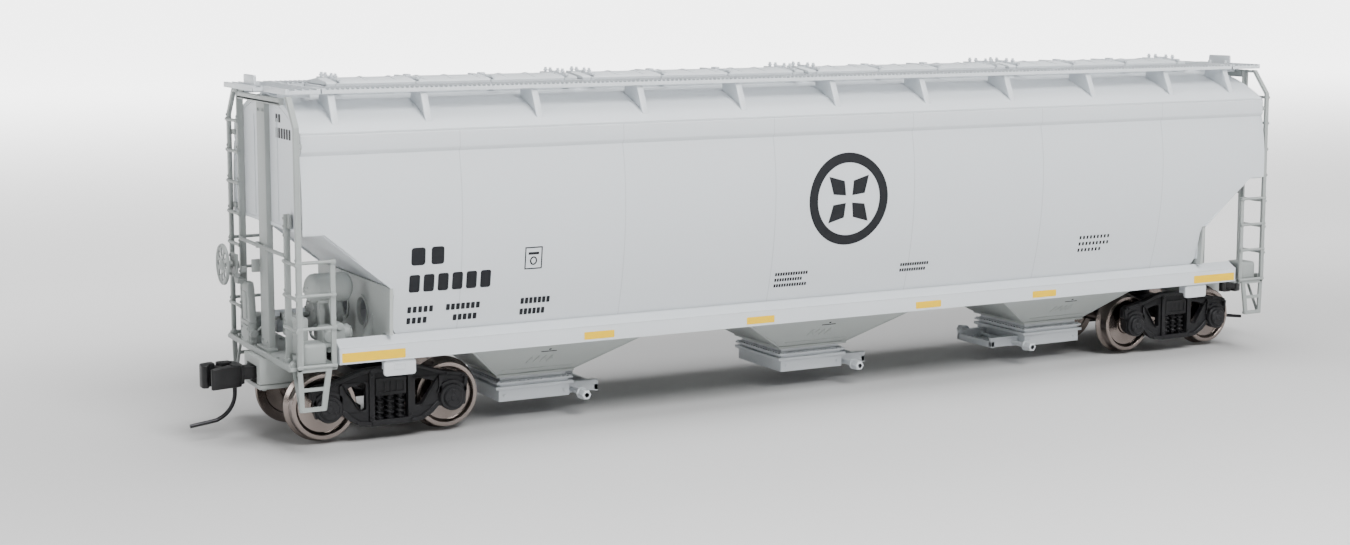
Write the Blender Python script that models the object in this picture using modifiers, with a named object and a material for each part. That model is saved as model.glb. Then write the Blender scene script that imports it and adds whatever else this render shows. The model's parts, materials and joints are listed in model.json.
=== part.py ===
"""Model hopper car: an HO scale (1:87.1) three-bay, curved-side covered hopper.

X runs along the car with the brake wheel at the -X end (the B end), Y is across it and Z is up.
Sizes are in millimetres and are turned into metres when a mesh is finished. Heights are above the
rail top. The empty rail_top lifts everything by one flange depth, so the flanges touch Z = 0.
"""
import math

import bmesh
import bpy
from mathutils import Matrix, Vector

MM = 0.001

# Driving dimensions, in millimetres.
FLANGE_DEPTH = 0.6
TREAD_RADIUS = 5.25
FLANGE_RADIUS = TREAD_RADIUS + FLANGE_DEPTH
WHEEL_BACK = 7.2
WHEEL_FRONT = 10.0
WHEELBASE = 20.4
TRUCK_CENTRE = 80.7
BODY_HALF_LENGTH = 96.3
WALL = 0.8
GAP = 0.1
SILL_HEIGHT = 16.1
CHORD_TOP = 48.3
SIDE_WIDEST = 18.45
SIDE_WIDEST_HEIGHT = 36.0
LOWER_SIDE_RADIUS = 60.0
UPPER_SIDE_RADIUS = 39.0
ROOF_RADIUS = 32.2
ROOF_CROWN = 53.7
ROOF_SPAN = 17.55
END_SHEET_BOTTOM = 33.3
SLOPE_START = 93.2
SLOPE_ANGLE = math.radians(39.1)
SIDE_END_LOW = 81.8
SIDE_END_SLOPE = 82.3
SILL_HALF_LENGTH = 90.8
BAY_SPACING = 54.0
GATE_HALF_X = 6.1
GATE_HALF_Y = 7.1
CHUTE_BOTTOM = 6.6
CHUTE_HALF_WIDTH = 7.3
BAY_HALF_WIDTH = 14.2
BAY_SHOULDER = 12.9
RIDGE_HEIGHT = 18.5
BOARD_BOTTOM = 54.15
BOARD_TOP = 55.0
BOARD_OUTER = 14.0
BOARD_INNER = 7.0
LADDER_X = 97.55
PLATFORM_END = 98.4
PLATFORM_TOP = 13.2
COUPLER_PIVOT = 94.5
KNUCKLE_PIN = (-9.3, 1.4)
BRAKE_WHEEL = (-101.0, 9.5, 25.9)
BRAKE_WHEEL_RADIUS = 3.35

COLLECTION = "model_hopper_car"


# ---------------------------------------------------------------- scene and materials

def clear_scene():
    for item in list(bpy.data.objects):
        bpy.data.objects.remove(item, do_unlink=True)


def new_collection(name):
    collection = bpy.data.collections.new(name)
    bpy.context.scene.collection.children.link(collection)
    return collection


def material(name, colour, roughness, metallic=0.0):
    made = bpy.data.materials.new(name)
    made.use_nodes = True
    shader = made.node_tree.nodes["Principled BSDF"]
    shader.inputs["Base Color"].default_value = (*colour, 1.0)
    shader.inputs["Roughness"].default_value = roughness
    shader.inputs["Metallic"].default_value = metallic
    made.diffuse_color = (*colour, 1.0)
    return made


# ---------------------------------------------------------------- shaping tools

def evaluated_mesh(item):
    """The item's mesh after its modifiers, in the item's own space; the item is removed."""
    bpy.context.view_layer.update()
    graph = bpy.context.evaluated_depsgraph_get()
    mesh = bpy.data.meshes.new_from_object(item.evaluated_get(graph), depsgraph=graph)
    data = item.data
    bpy.data.objects.remove(item, do_unlink=True)
    if isinstance(data, bpy.types.Curve):
        bpy.data.curves.remove(data)
    return mesh


def link(name, data):
    item = bpy.data.objects.new(name, data)
    bpy.context.scene.collection.objects.link(item)
    return item


def weld(mesh, distance=1e-4):
    shape = bmesh.new()
    shape.from_mesh(mesh)
    bmesh.ops.remove_doubles(shape, verts=shape.verts, dist=distance)
    shape.to_mesh(mesh)
    shape.free()
    return mesh


PLANES = {
    "XY": Matrix(((1, 0, 0), (0, 1, 0), (0, 0, 1))),
    "XZ": Matrix(((1, 0, 0), (0, 0, -1), (0, 1, 0))),
    "YZ": Matrix(((0, 0, 1), (1, 0, 0), (0, 1, 0))),
}


def plate(loops, low, high, plane):
    """A flat outline, with any holes as further loops, that runs from low to high."""
    curve = bpy.data.curves.new("outline", "CURVE")
    curve.dimensions = "2D"
    curve.fill_mode = "BOTH"
    curve.extrude = (high - low) / 2
    for loop in loops:
        spline = curve.splines.new("POLY")
        spline.points.add(len(loop) - 1)
        for point, (x, y) in zip(spline.points, loop):
            point.co = (x, y, 0, 1)
        spline.use_cyclic_u = True
    mesh = weld(evaluated_mesh(link("outline", curve)))
    middle = (high + low) / 2
    turn = PLANES[plane].to_4x4()
    if plane == "XZ":
        middle = -middle
    mesh.transform(turn @ Matrix.Translation((0, 0, middle)))
    return mesh


def block(low, high, bevel=0.0):
    """A box between two corners, with its edges rounded off by bevel."""
    shape = bmesh.new()
    size = [b - a for a, b in zip(low, high)]
    centre = [(a + b) / 2 for a, b in zip(low, high)]
    bmesh.ops.create_cube(shape, size=1.0)
    bmesh.ops.scale(shape, vec=size, verts=shape.verts)
    if bevel:
        bmesh.ops.bevel(shape, geom=shape.edges, offset=bevel, segments=1, affect="EDGES")
    bmesh.ops.translate(shape, vec=centre, verts=shape.verts)
    mesh = bpy.data.meshes.new("block")
    shape.to_mesh(mesh)
    shape.free()
    return mesh


TO_AXIS = {
    "X": Matrix.Rotation(math.radians(90), 4, "Y"),
    "Y": Matrix.Rotation(math.radians(-90), 4, "X"),
    "Z": Matrix.Identity(4),
}


def rod(radius, low, high, centre, axis, segments=12, end_radius=None):
    """A round bar along an axis from low to high; centre holds its other two coordinates."""
    shape = bmesh.new()
    bmesh.ops.create_cone(
        shape, cap_ends=True, segments=segments, radius1=radius,
        radius2=radius if end_radius is None else end_radius, depth=high - low)
    mesh = bpy.data.meshes.new("rod")
    shape.to_mesh(mesh)
    shape.free()
    middle = (low + high) / 2
    place = {"X": (middle, *centre), "Y": (centre[0], middle, centre[1]), "Z": (*centre, middle)}[axis]
    mesh.transform(Matrix.Translation(place) @ TO_AXIS[axis])
    return mesh


def wire(points, radius):
    """A bent round wire through the points."""
    curve = bpy.data.curves.new("wire", "CURVE")
    curve.dimensions = "3D"
    curve.bevel_depth = radius
    curve.bevel_resolution = 2
    curve.use_fill_caps = True
    spline = curve.splines.new("POLY")
    spline.points.add(len(points) - 1)
    for point, place in zip(spline.points, points):
        point.co = (*place, 1)
    return weld(evaluated_mesh(link("wire", curve)))


def turned(profile, segments, closed=False):
    """A profile of (radius, height) pairs, top to bottom down its outer side, spun about Z."""
    shape = bmesh.new()
    corners = [shape.verts.new((radius, 0, height)) for radius, height in profile]
    pairs = list(zip(corners, corners[1:]))
    if closed:
        pairs.append((corners[-1], corners[0]))
    for start, end in pairs:
        shape.edges.new((start, end))
    mesh = bpy.data.meshes.new("profile")
    shape.to_mesh(mesh)
    shape.free()
    item = link("turned", mesh)
    screw = item.modifiers.new("Screw", "SCREW")
    screw.axis = "Z"
    screw.steps = segments
    screw.render_steps = segments
    screw.use_merge_vertices = True
    screw.merge_threshold = 0.0001
    return weld(evaluated_mesh(item))


def combine(mesh, other, operation):
    """A Boolean of two meshes; the other's finished shape is worked into the first one."""
    item = link("base", mesh)
    tool = link("tool", other)
    change = item.modifiers.new("Boolean", "BOOLEAN")
    change.operation = operation
    change.solver = "EXACT"
    change.object = tool
    result = evaluated_mesh(item)
    bpy.data.objects.remove(tool, do_unlink=True)
    return result


def union(*meshes):
    result = meshes[0]
    for mesh in meshes[1:]:
        result = combine(result, mesh, "UNION")
    return result


def cut(mesh, *cutters):
    for cutter in cutters:
        mesh = combine(mesh, cutter, "DIFFERENCE")
    return mesh


def group(meshes):
    """Separate shapes in one mesh, to be worked into another by a single Boolean."""
    shape = bmesh.new()
    for mesh in meshes:
        shape.from_mesh(mesh)
    result = bpy.data.meshes.new("group")
    shape.to_mesh(result)
    shape.free()
    return result


def turned_about(mesh, matrix):
    """The mesh moved by a matrix without a reflection."""
    copy = mesh.copy()
    copy.transform(matrix)
    return copy


def arc(centre, radius, start, end, count):
    """Points on an arc in a plane, from one angle in degrees to another, both included."""
    points = []
    for step in range(count + 1):
        angle = math.radians(start + (end - start) * step / count)
        points.append((centre[0] + radius * math.cos(angle), centre[1] + radius * math.sin(angle)))
    return points


def ellipse(centre, half_width, half_height, count):
    points = []
    for step in range(count):
        angle = 2 * math.pi * step / count
        points.append((centre[0] + half_width * math.cos(angle), centre[1] + half_height * math.sin(angle)))
    return points


def rectangle(left, right, bottom, top):
    return [(left, bottom), (right, bottom), (right, top), (left, top)]


HALF_TURN = Matrix.Rotation(math.pi, 4, "Z")


# ---------------------------------------------------------------- placing

def pivot(name, place, parent=None):
    """An empty at a place in the car's own frame, above the rail top."""
    empty = bpy.data.objects.new(name, None)
    CAR.objects.link(empty)
    if parent is None:
        empty.location = Vector(place) * MM
    else:
        empty.parent = parent
        empty.location = Vector(place) * MM
    empty.empty_display_size = 2 * MM
    return empty


def add_part(name, mesh, finish, parent, origin=(0, 0, 0), smooth=False):
    """A finished part; origin is the parent's place, in millimetres above the rail top."""
    mesh.transform(Matrix.Translation(-Vector(origin)))
    mesh.transform(Matrix.Scale(MM, 4))
    mesh.name = name
    mesh.materials.clear()
    mesh.materials.append(finish)
    if smooth:
        mesh.shade_smooth()
        mesh.set_sharp_from_angle(angle=math.radians(35))
    item = bpy.data.objects.new(name, mesh)
    CAR.objects.link(item)
    item.parent = parent
    return item


# ---------------------------------------------------------------- body

def side_y(height):
    """Half width of the curved side sheet at a height."""
    offset = height - SIDE_WIDEST_HEIGHT
    radius = UPPER_SIDE_RADIUS if offset > 0 else LOWER_SIDE_RADIUS
    return SIDE_WIDEST - offset ** 2 / (2 * radius)


def slope_z(x):
    """Height of an end slope sheet's underside at a distance from the car's middle."""
    return END_SHEET_BOTTOM - (SLOPE_START - x) * math.tan(SLOPE_ANGLE)


def slope_x(height):
    return SLOPE_START - (END_SHEET_BOTTOM - height) / math.tan(SLOPE_ANGLE)


def roof_arc(radius, width, count):
    """The roof's curve from +width to -width, about the roof's own centre."""
    centre = ROOF_CROWN - ROOF_RADIUS
    edge = math.degrees(math.asin(width / radius))
    return arc((0, centre), radius, 90 - edge, 90 + edge, count)


def mirrored_outline(right_side):
    """A closed outline from its right side, listed bottom to top."""
    return right_side + [(-y, z) for y, z in reversed(right_side)]


def body_section():
    """The body's outer cross-section: curved sides, top chords and end sheets under the roof."""
    heights = [SILL_HEIGHT + (45.1 - SILL_HEIGHT) * step / 8 for step in range(9)]
    side = [(side_y(height), height) for height in heights]
    chord = [(17.75, 45.9), (17.75, CHORD_TOP)]
    inside_roof = roof_arc(ROOF_RADIUS - WALL - GAP, 16.17, 10)
    return side + chord + inside_roof + [(-y, z) for y, z in reversed(side + chord)]


def inner_section(bottom, top):
    """The inside of the side sheets, open above and below."""
    heights = [SILL_HEIGHT + (45.1 - SILL_HEIGHT) * step / 8 for step in range(9)]
    side = [(side_y(SILL_HEIGHT) - WALL, bottom)]
    side += [(side_y(height) - WALL, height) for height in heights]
    side.append((side_y(45.1) - WALL, top))
    return mirrored_outline(side)


def both_ends(half):
    """An outline in X and Z from its +X half, listed top to bottom."""
    return half + [(-x, z) for x, z in reversed(half)]


def make_body_shell():
    top = 60.0
    low = SILL_HEIGHT - 6.0
    outer = plate([body_section()], -BODY_HALF_LENGTH, BODY_HALF_LENGTH, "YZ")
    silhouette = both_ends([
        (BODY_HALF_LENGTH + 1, top), (BODY_HALF_LENGTH + 1, END_SHEET_BOTTOM),
        (SLOPE_START, END_SHEET_BOTTOM), (SIDE_END_SLOPE, slope_z(SIDE_END_SLOPE)),
        (SIDE_END_LOW, 22.9), (SIDE_END_LOW, low)])
    outer = combine(outer, plate([silhouette], -30, 30, "XZ"), "INTERSECT")
    inside_x = BODY_HALF_LENGTH - WALL
    rise = WALL / math.cos(SLOPE_ANGLE)
    floor = END_SHEET_BOTTOM + WALL
    inner_start = slope_x(floor - rise)
    hollow = both_ends([
        (inside_x, top), (inside_x, floor), (inner_start, floor), (slope_x(low - rise), low)])
    cavity = combine(
        plate([inner_section(low - 1, top + 1)], -100, 100, "YZ"),
        plate([hollow], -30, 30, "XZ"), "INTERSECT")
    shell = cut(outer, cavity)
    skin = 0.02
    under = [(66.0, slope_z(66.0) - skin), (83.0, slope_z(83.0) - skin), (83.0, low), (66.0, low)]
    under.reverse()
    space = combine(
        plate([inner_section(low - 1, 30.0)], 60, 100, "YZ"), plate([under], -30, 30, "XZ"), "INTERSECT")
    far_space = turned_about(space, HALF_TURN)
    return cut(shell, space, far_space)


def make_roof():
    """The curved roof sheet with its hatch coaming and the plates that hold the running boards."""
    outer = roof_arc(ROOF_RADIUS, ROOF_SPAN, 16)
    inner = roof_arc(ROOF_RADIUS - WALL, 16.2, 12)
    section = outer + [(-ROOF_SPAN, 48.4)] + list(reversed(inner)) + [(ROOF_SPAN, 48.4)]
    roof = plate([section], -BODY_HALF_LENGTH, BODY_HALF_LENGTH, "YZ")
    coaming = block((-88.6, -4.3, 53.0), (88.6, 4.3, 54.9))
    roof = union(roof, coaming)
    gusset = [(15.7, 49.0), (15.75, 49.6), (13.3, BOARD_BOTTOM - GAP), (8.4, BOARD_BOTTOM - GAP), (8.2, 52.0)]
    plates = []
    for x in GUSSET_PLACES:
        for side in (1, -1):
            outline = [(side * y, z) for y, z in gusset]
            if side < 0:
                outline.reverse()
            plates.append(plate([outline], x - 0.4, x + 0.4, "YZ"))
    return union(roof, group(plates))


GUSSET_PLACES = [side * x for x in (18.75, 37.4, 56.3, 75.1, 90.1) for side in (-1, 1)] + [0.0]


def make_hatch_cover(middle):
    """A long cover with a shallow peak and a turned-down rim round the coaming."""
    half = 21.6
    section = [(5.0, 54.2), (5.0, 55.35), (0.0, 56.0), (-5.0, 55.35), (-5.0, 54.2),
               (-4.45, 54.2), (-4.45, 55.0), (4.45, 55.0), (4.45, 54.2)]
    return plate([section], middle - half, middle + half, "YZ")


def make_running_board(side):
    inner, outer = sorted((side * BOARD_INNER, side * BOARD_OUTER))
    return block((-91.6, inner, BOARD_BOTTOM), (91.6, outer, BOARD_TOP))


def make_end_walkway():
    """The cross walk at the B end, wide at the tall ladder and cut back at the short one."""
    outline = [(-91.8, 14.0), (-98.9, 14.0), (-98.9, -2.4), (-97.3, -4.6), (-97.3, -14.0), (-91.8, -14.0)]
    board = plate([outline], BOARD_BOTTOM, BOARD_TOP, "XY")
    stop = block((-97.7, 1.7, 54.6), (-96.9, 7.4, 56.5), 0.2)
    return union(board, stop)


# ---------------------------------------------------------------- underframe

def make_side_sill(side):
    """The yellow-marked sill with its sloping top flange and the shelf that the side sheet rests on."""
    section = [(14.5, 13.1), (17.5, 13.1), (17.5, 15.65), (15.55, 16.75), (15.3, 15.98), (14.5, 15.98)]
    outline = [(side * y, z) for y, z in section]
    if side < 0:
        outline.reverse()
    sill = plate([outline], -SILL_HALF_LENGTH, SILL_HALF_LENGTH, "YZ")
    placards = []
    for x in (-81.0, 81.0):
        low, high = sorted((side * 16.6, side * 17.3))
        placards.append(block((x - 2.6, low, 10.6), (x + 2.6, high, 13.3)))
    return union(sill, group(placards))


def make_end_platform():
    """The B end's floor plate with its two corner boxes."""
    outline = [(-91.0, -17.1), (-91.0, 17.1), (-PLATFORM_END, 17.1), (-PLATFORM_END, -17.1)]
    floor = plate([outline], 12.6, PLATFORM_TOP, "XY")
    boxes = []
    for side in (-1, 1):
        low, high = sorted((side * 12.9, side * 17.2))
        boxes.append(block((-96.3, low, 12.9), (-92.6, high, 16.6), 0.5))
    return union(floor, group(boxes))


def make_stub_sill():
    """The B end's draft box, stub centre sill and body bolster with its pierced web."""
    box = block((-99.4, -4.15, 8.4), (-91.6, 4.15, 12.5))
    box = cut(box, block((-101, -2.7, 7.5), (-92.4, 2.7, 11.2)))
    post = rod(0.9, 8.5, 11.6, (-COUPLER_PIVOT, 0), "Z", 12)
    sill = block((-92.0, -3.1, 10.6), (-72.0, 3.1, 12.5))
    upper = block((-90.8, -3.1, 12.2), (-81.0, 3.1, 14.2))
    beam = block((-83.0, -14.3, 11.5), (-78.6, 14.3, 13.0))
    boss = rod(3.4, 10.5, 12.0, (-TRUCK_CENTRE, 0), "Z", 20)
    web = plate([rectangle(-14.2, 14.2, 12.7, 23.5), ellipse((-4.6, 18.9), 2.4, 2.3, 16),
                 ellipse((4.6, 18.9), 2.4, 2.3, 16)], -82.6, -81.8, "YZ")
    frame = union(box, post, sill, upper, beam, boss, web)
    return cut(frame, rod(1.3, 9.5, 12.9, (-TRUCK_CENTRE, 0), "Z", 16))


def make_draft_box_lid():
    return block((-99.4, -4.15, 7.6), (-91.6, 4.15, 8.3), 0.1)


def make_centre_post():
    """The B end's centre post with its top cross member and the grab bar across the end."""
    post = block((-97.1, -2.1, 13.3), (-96.4, 2.1, 53.0))
    beam = block((-97.5, -11.3, 52.4), (-96.5, 11.3, 53.5))
    bar = rod(0.35, -11.4, 11.4, (-97.35, 29.7), "Y", 8)
    return union(post, beam, bar)


RUNG = 0.5
LADDER_RUNGS = (48.7, 43.7, 38.6, 33.6, 28.5, 23.5, 18.4)


def make_end_ladder_plate(tall, side):
    """The ladder across the end at a corner, whose outer post leans in to the running board."""
    back = -LADDER_X + 0.7
    outer, inner_edge = 18.2, 17.3
    if tall:
        loops = [[(outer, 13.3), (outer, 49.5), (14.6, 53.9), (11.7, 53.9), (11.7, 13.3)]]
        edges = [13.3] + list(reversed(LADDER_RUNGS))
        for low, high in zip(edges, edges[1:]):
            loops.append(rectangle(12.6, inner_edge, low + RUNG / 2, high - RUNG / 2))
        loops[1][0] = (12.6, 13.9)
        loops[1][1] = (inner_edge, 13.9)
        loops.append([(12.6, 48.95), (inner_edge, 48.95), (inner_edge, 49.3), (14.0, 53.3), (12.6, 53.3)])
    else:
        loops = [[(outer, 13.3), (outer, 49.5), (14.6, 53.9), (13.6, 53.9), (inner_edge, 49.3),
                  (inner_edge, 29.1), (12.6, 29.1), (12.6, 36.0), (11.7, 36.0), (11.7, 13.3)]]
        edges = [13.3, 18.8, 23.7, 28.85]
        for low, high in zip(edges, edges[1:]):
            loops.append(rectangle(12.6, inner_edge, low + RUNG / 2, high - RUNG / 2))
        loops[1][0] = (12.6, 13.9)
        loops[1][1] = (inner_edge, 13.9)
    loops = [[(side * y, z) for y, z in loop] for loop in loops]
    if side < 0:
        loops = [list(reversed(loop)) for loop in loops]
    return plate(loops, -LADDER_X, back, "YZ")


def make_side_ladder_plate(side):
    """The ladder and stirrup step along the side at a corner."""
    loops = [[(-97.5, 29.4), (-97.5, 12.8), (-97.3, 6.4), (-93.1, 6.4), (-92.2, 12.6),
              (-91.3, 12.8), (-91.3, 29.4)]]
    edges = [13.3, 19.1, 24.1, 29.15]
    for low, high in zip(edges, edges[1:]):
        loops.append(rectangle(-96.7, -92.2, low + RUNG / 2, high - RUNG / 2))
    loops.append([(-96.7, 12.4), (-96.7, 10.0), (-93.4, 10.0), (-93.05, 12.4)])
    loops.append([(-96.7, 9.5), (-96.7, 7.0), (-93.8, 7.0), (-93.5, 9.5)])
    low, high = sorted((side * 17.45, side * 18.15))
    return plate(loops, low, high, "XZ")


def make_corner_ladder(tall, side):
    return union(make_end_ladder_plate(tall, side), make_side_ladder_plate(side))


# ---------------------------------------------------------------- hopper bays

def make_bay(middle, left_reach, right_reach):
    """A funnel between two slope sheets with sloping side sheets, open at its top and bottom.

    left_reach and right_reach are how far from the chute each slope sheet runs out, and its top height.
    """
    chute = GATE_HALF_X + 0.3
    silhouettes = []
    for inset, beyond in ((0.0, 0.0), (WALL, 1.0)):
        corners = []
        for side, (reach, top) in ((-1, left_reach), (1, right_reach)):
            run = (reach - chute) / (top - CHUTE_BOTTOM)
            low_end = (middle + side * (chute - inset - run * beyond), CHUTE_BOTTOM - beyond)
            high_end = (middle + side * (reach - inset + run * beyond), top + beyond)
            corners.append((low_end, high_end))
        (left_low, left_high), (right_low, right_high) = corners
        silhouettes.append([left_low, right_low, right_high, left_high])
    sections = []
    flare = (BAY_HALF_WIDTH - CHUTE_HALF_WIDTH) / (BAY_SHOULDER - CHUTE_BOTTOM)
    for inset, bottom, top in ((0.0, CHUTE_BOTTOM - 2, 30.0), (WALL, CHUTE_BOTTOM - 3, 31.0)):
        low = CHUTE_HALF_WIDTH - inset + flare * (bottom - CHUTE_BOTTOM)
        wide = BAY_HALF_WIDTH - inset
        sections.append(mirrored_outline([(low, bottom), (wide, BAY_SHOULDER), (wide, top)]))
    shapes = [combine(plate([silhouette], -30, 30, "XZ"), plate([section], -100, 100, "YZ"), "INTERSECT")
              for silhouette, section in zip(silhouettes, sections)]
    return cut(*shapes)


def make_outlet_gate(middle, direction):
    """The gate frame under a chute, its slide's rack frame and the turning shaft with square ends."""
    flange = block((middle - 7.0, -7.8, 4.4), (middle + 7.0, 7.8, 4.95))
    neck = block((middle - 6.0, -6.9, 4.6), (middle + 6.0, 6.9, CHUTE_BOTTOM - GAP))
    pan = block((middle - GATE_HALF_X, -GATE_HALF_Y, 2.4), (middle + GATE_HALF_X, GATE_HALF_Y, 4.6))
    rack_x = sorted((middle + direction * 5.0, middle + direction * 12.7))
    rack = block((rack_x[0], -5.4, 2.2), (rack_x[1], 5.4, 3.4))
    window_x = sorted((middle + direction * 9.4, middle + direction * 11.9))
    rack = cut(rack, block((window_x[0], -4.5, 1.5), (window_x[1], 4.5, 4.0)))
    shaft_x = middle + direction * 7.7
    shaft = rod(0.5, -11.5, 11.5, (shaft_x, 2.95), "Y", 8)
    ends = [rod(0.85, low, low + 1.5, (shaft_x, 2.95), "Y", 6) for low in (-11.5, 10.0)]
    return union(flange, neck, pan, rack, shaft, group(ends))


# ---------------------------------------------------------------- trucks

def make_sideframe(side):
    """One roller-bearing sideframe: bearing ends, two side windows and the spring window."""
    half = [(0.0, 11.0), (3.4, 11.0), (8.6, 9.3), (12.4, 8.7), (13.0, 8.1), (13.0, 4.6), (12.2, 3.5),
            (9.4, 3.4), (8.2, 4.0), (5.2, 1.9), (0.0, 1.9)]
    outline = [(x, z) for x, z in half[1:-1]] + [(-x, z) for x, z in reversed(half[1:-1])]
    outline.reverse()
    loops = [outline, rectangle(-2.8, 2.8, 2.8, 6.5)]
    for turn in (-1, 1):
        loops.append([(turn * 4.0, 4.4), (turn * 5.4, 4.7), (turn * 7.2, 7.6), (turn * 4.0, 8.6)])
    low, high = sorted((side * 10.6, side * 12.3))
    frame = plate(loops, low, high, "XZ")
    caps = []
    for x in (-WHEELBASE / 2, WHEELBASE / 2):
        low, high = sorted((side * 12.0, side * 13.2))
        caps.append(rod(1.5, low, high, (x, TREAD_RADIUS), "Y", 12))
    frame = union(frame, group(caps))
    holes = []
    for x in (-WHEELBASE / 2, WHEELBASE / 2):
        low, high = sorted((side * 10.0, side * 12.5))
        holes.append(rod(0.85, low, high, (x, TREAD_RADIUS), "Y", 12))
    return cut(frame, group(holes))


def make_truck_frame():
    """Both sideframes and the bolster between them, about the truck's own centre."""
    bolster = block((-3.0, -11.0, 6.9), (3.0, 11.0, 9.3))
    pad = rod(3.0, 9.0, 10.4, (0, 0), "Z", 20)
    frame = union(make_sideframe(-1), bolster, make_sideframe(1), pad)
    return cut(frame, rod(1.3, 6.0, 11.0, (0, 0), "Z", 16))


def make_truck_screw():
    """The screw that each truck turns on, about its own axis."""
    profile = [(0.0, 12.7), (1.1, 12.7), (1.1, 6.7), (2.4, 6.7), (2.4, 6.1), (1.9, 5.6), (0.0, 5.6)]
    return turned(profile, 16)


def make_axle():
    """An axle with a needle point at each end, about its own axis along Y."""
    profile = [(0.0, 12.3), (0.6, 11.0), (0.6, 9.9), (0.9, 9.7), (0.9, -9.7), (0.6, -9.9), (0.6, -11.0), (0.0, -12.3)]
    mesh = turned(profile, 10)
    mesh.transform(TO_AXIS["Y"])
    return mesh


def make_wheel(side):
    """A turned wheel with a flange, a hollow web and a bore for the axle."""
    bore = 0.95
    profile = [(bore, WHEEL_FRONT - 0.1), (1.9, WHEEL_FRONT - 0.1), (2.2, WHEEL_FRONT - 1.0),
               (4.1, WHEEL_FRONT - 0.8), (4.5, WHEEL_FRONT), (TREAD_RADIUS, WHEEL_FRONT),
               (TREAD_RADIUS, WHEEL_BACK + 0.95), (FLANGE_RADIUS, WHEEL_BACK + 0.4),
               (FLANGE_RADIUS - 0.2, WHEEL_BACK), (bore, WHEEL_BACK)]
    mesh = turned(profile, 24, closed=True)
    mesh.transform(TO_AXIS["Y"])
    if side < 0:
        mesh.transform(HALF_TURN)
    return mesh


# ---------------------------------------------------------------- couplers

def make_coupler():
    """The B end's coupler about its pivot: shank, head, guard arm and the lugs that hold the knuckle."""
    shank = plate([arc((0, 0), 1.8, -143, 143, 12) + [(-7.2, 1.1), (-7.2, -1.1)],
                   ellipse((0, 0), 1.05, 1.05, 12)], 8.9, 10.9, "XY")
    head_outline = [(-6.9, 1.2), (-6.9, -1.2), (-7.3, -2.7), (-9.0, -3.1), (-11.7, -3.7), (-12.3, -3.3),
                    (-12.1, -2.9), (-9.9, -1.5), (-8.5, -0.8), (-8.4, 0.4), (-8.4, 2.5), (-7.3, 2.5)]
    head = plate([head_outline], 8.15, 11.45, "XY")
    lug = arc(KNUCKLE_PIN, 0.95, 90, 270, 8) + [(-8.0, 0.45), (-8.0, 2.35)]
    lugs = [plate([lug], 8.0, 8.45, "XY"), plate([lug], 11.15, 11.6, "XY")]
    coupler = union(shank, head, *lugs)
    coupler = cut(coupler, rod(0.5, 7.5, 12.5, KNUCKLE_PIN, "Z", 10))
    return cut(coupler, rod(0.42, 7.5, 9.8, (-7.7, 0), "Z", 10))


def make_knuckle():
    """The B end's knuckle, a hook that closes on the guard arm, with its pin, about the coupler's pivot."""
    pin = KNUCKLE_PIN
    nose = [(-10.5, 2.65), (-11.2, 2.6), (-12.5, 2.1), (-12.9, 1.5), (-12.9, -0.45), (-12.0, -0.75),
            (-11.8, -0.3), (-11.6, 0.5), (-10.5, 0.9)]
    root = arc(pin, 0.75, -70, 90, 5) + nose[:2] + [(-11.7, 1.4), (-10.5, 0.9), (-9.8, 0.65)]
    hook = plate([nose], 7.9, 11.6, "XY")
    hinge = plate([root], 8.55, 11.05, "XY")
    return union(hook, hinge, rod(0.4, 8.1, 11.5, pin, "Z", 8))


def make_trip_pin():
    """The bent steel pin under the coupler head, about the coupler's pivot."""
    points = [(-7.7, 0, 9.6), (-7.7, 0, 6.8)]
    centre_x, centre_z, radius = -12.0, 6.8, 4.3
    for step in range(1, 8):
        angle = math.radians(step * 11)
        points.append((centre_x + radius * math.cos(angle), 0, centre_z - radius * math.sin(angle)))
    points.append((-14.9, 0, 2.1))
    return wire(points, 0.34)


# ---------------------------------------------------------------- brake gear

def make_brake_wheel():
    """The hand wheel with its round windows and shaft, about its own axis along X."""
    loops = [ellipse((0, 0), BRAKE_WHEEL_RADIUS, BRAKE_WHEEL_RADIUS, 20)]
    for step in range(7):
        angle = 2 * math.pi * step / 7
        centre = (2.0 * math.cos(angle), 2.0 * math.sin(angle))
        loops.append(ellipse(centre, 0.65, 0.65, 6))
    wheel = plate(loops, -0.25, 0.25, "YZ")
    return union(wheel, rod(0.45, -0.5, 2.6, (0, 0), "X", 10))


def make_brake_gearbox():
    """The hand brake's gear housing with its arm to the centre post."""
    y, z = BRAKE_WHEEL[1:]
    case = block((-99.4, y - 2.0, z - 2.5), (-97.75, y + 1.9, z + 2.0), 0.3)
    arm = block((-98.2, 2.2, z - 0.4), (-97.2, y - 1.7, z + 1.3))
    case = union(case, arm)
    return cut(case, rod(0.6, -100.5, -98.0, (y, z), "X", 12))


def make_brake_housing():
    """The chain and bell-crank housing between the gear housing and the platform."""
    outline = [(4.9, PLATFORM_TOP + GAP), (9.6, PLATFORM_TOP + GAP), (9.6, 16.6), (8.6, 17.4), (9.3, 23.1),
               (6.0, 23.1), (5.2, 20.0)]
    return plate([outline], -98.3, -96.9, "YZ")


def make_tank(start, end, y, z, radius):
    """A tank with domed ends along X."""
    dome = radius * 0.45
    profile = [(0.0, end)]
    for step in range(1, 4):
        angle = math.radians(90 - 30 * step)
        profile.append((radius * math.cos(angle), end - dome + dome * math.sin(angle)))
    for step in range(0, 3):
        angle = math.radians(30 * step)
        profile.append((radius * math.cos(angle), start + dome - dome * math.sin(angle)))
    profile.append((0.0, start))
    mesh = turned(profile, 16)
    mesh.transform(Matrix.Translation((0, y, z)) @ TO_AXIS["X"])
    return mesh


def make_air_reservoir():
    tank = make_tank(-92.6, -84.9, -6.4, 23.4, 2.3)
    stand = block((-90.4, -7.0, 14.3), (-89.6, -5.8, 22.0))
    foot = block((-90.5, -7.2, PLATFORM_TOP + GAP), (-89.5, -3.4, 14.6))
    return union(tank, stand, foot)


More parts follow.
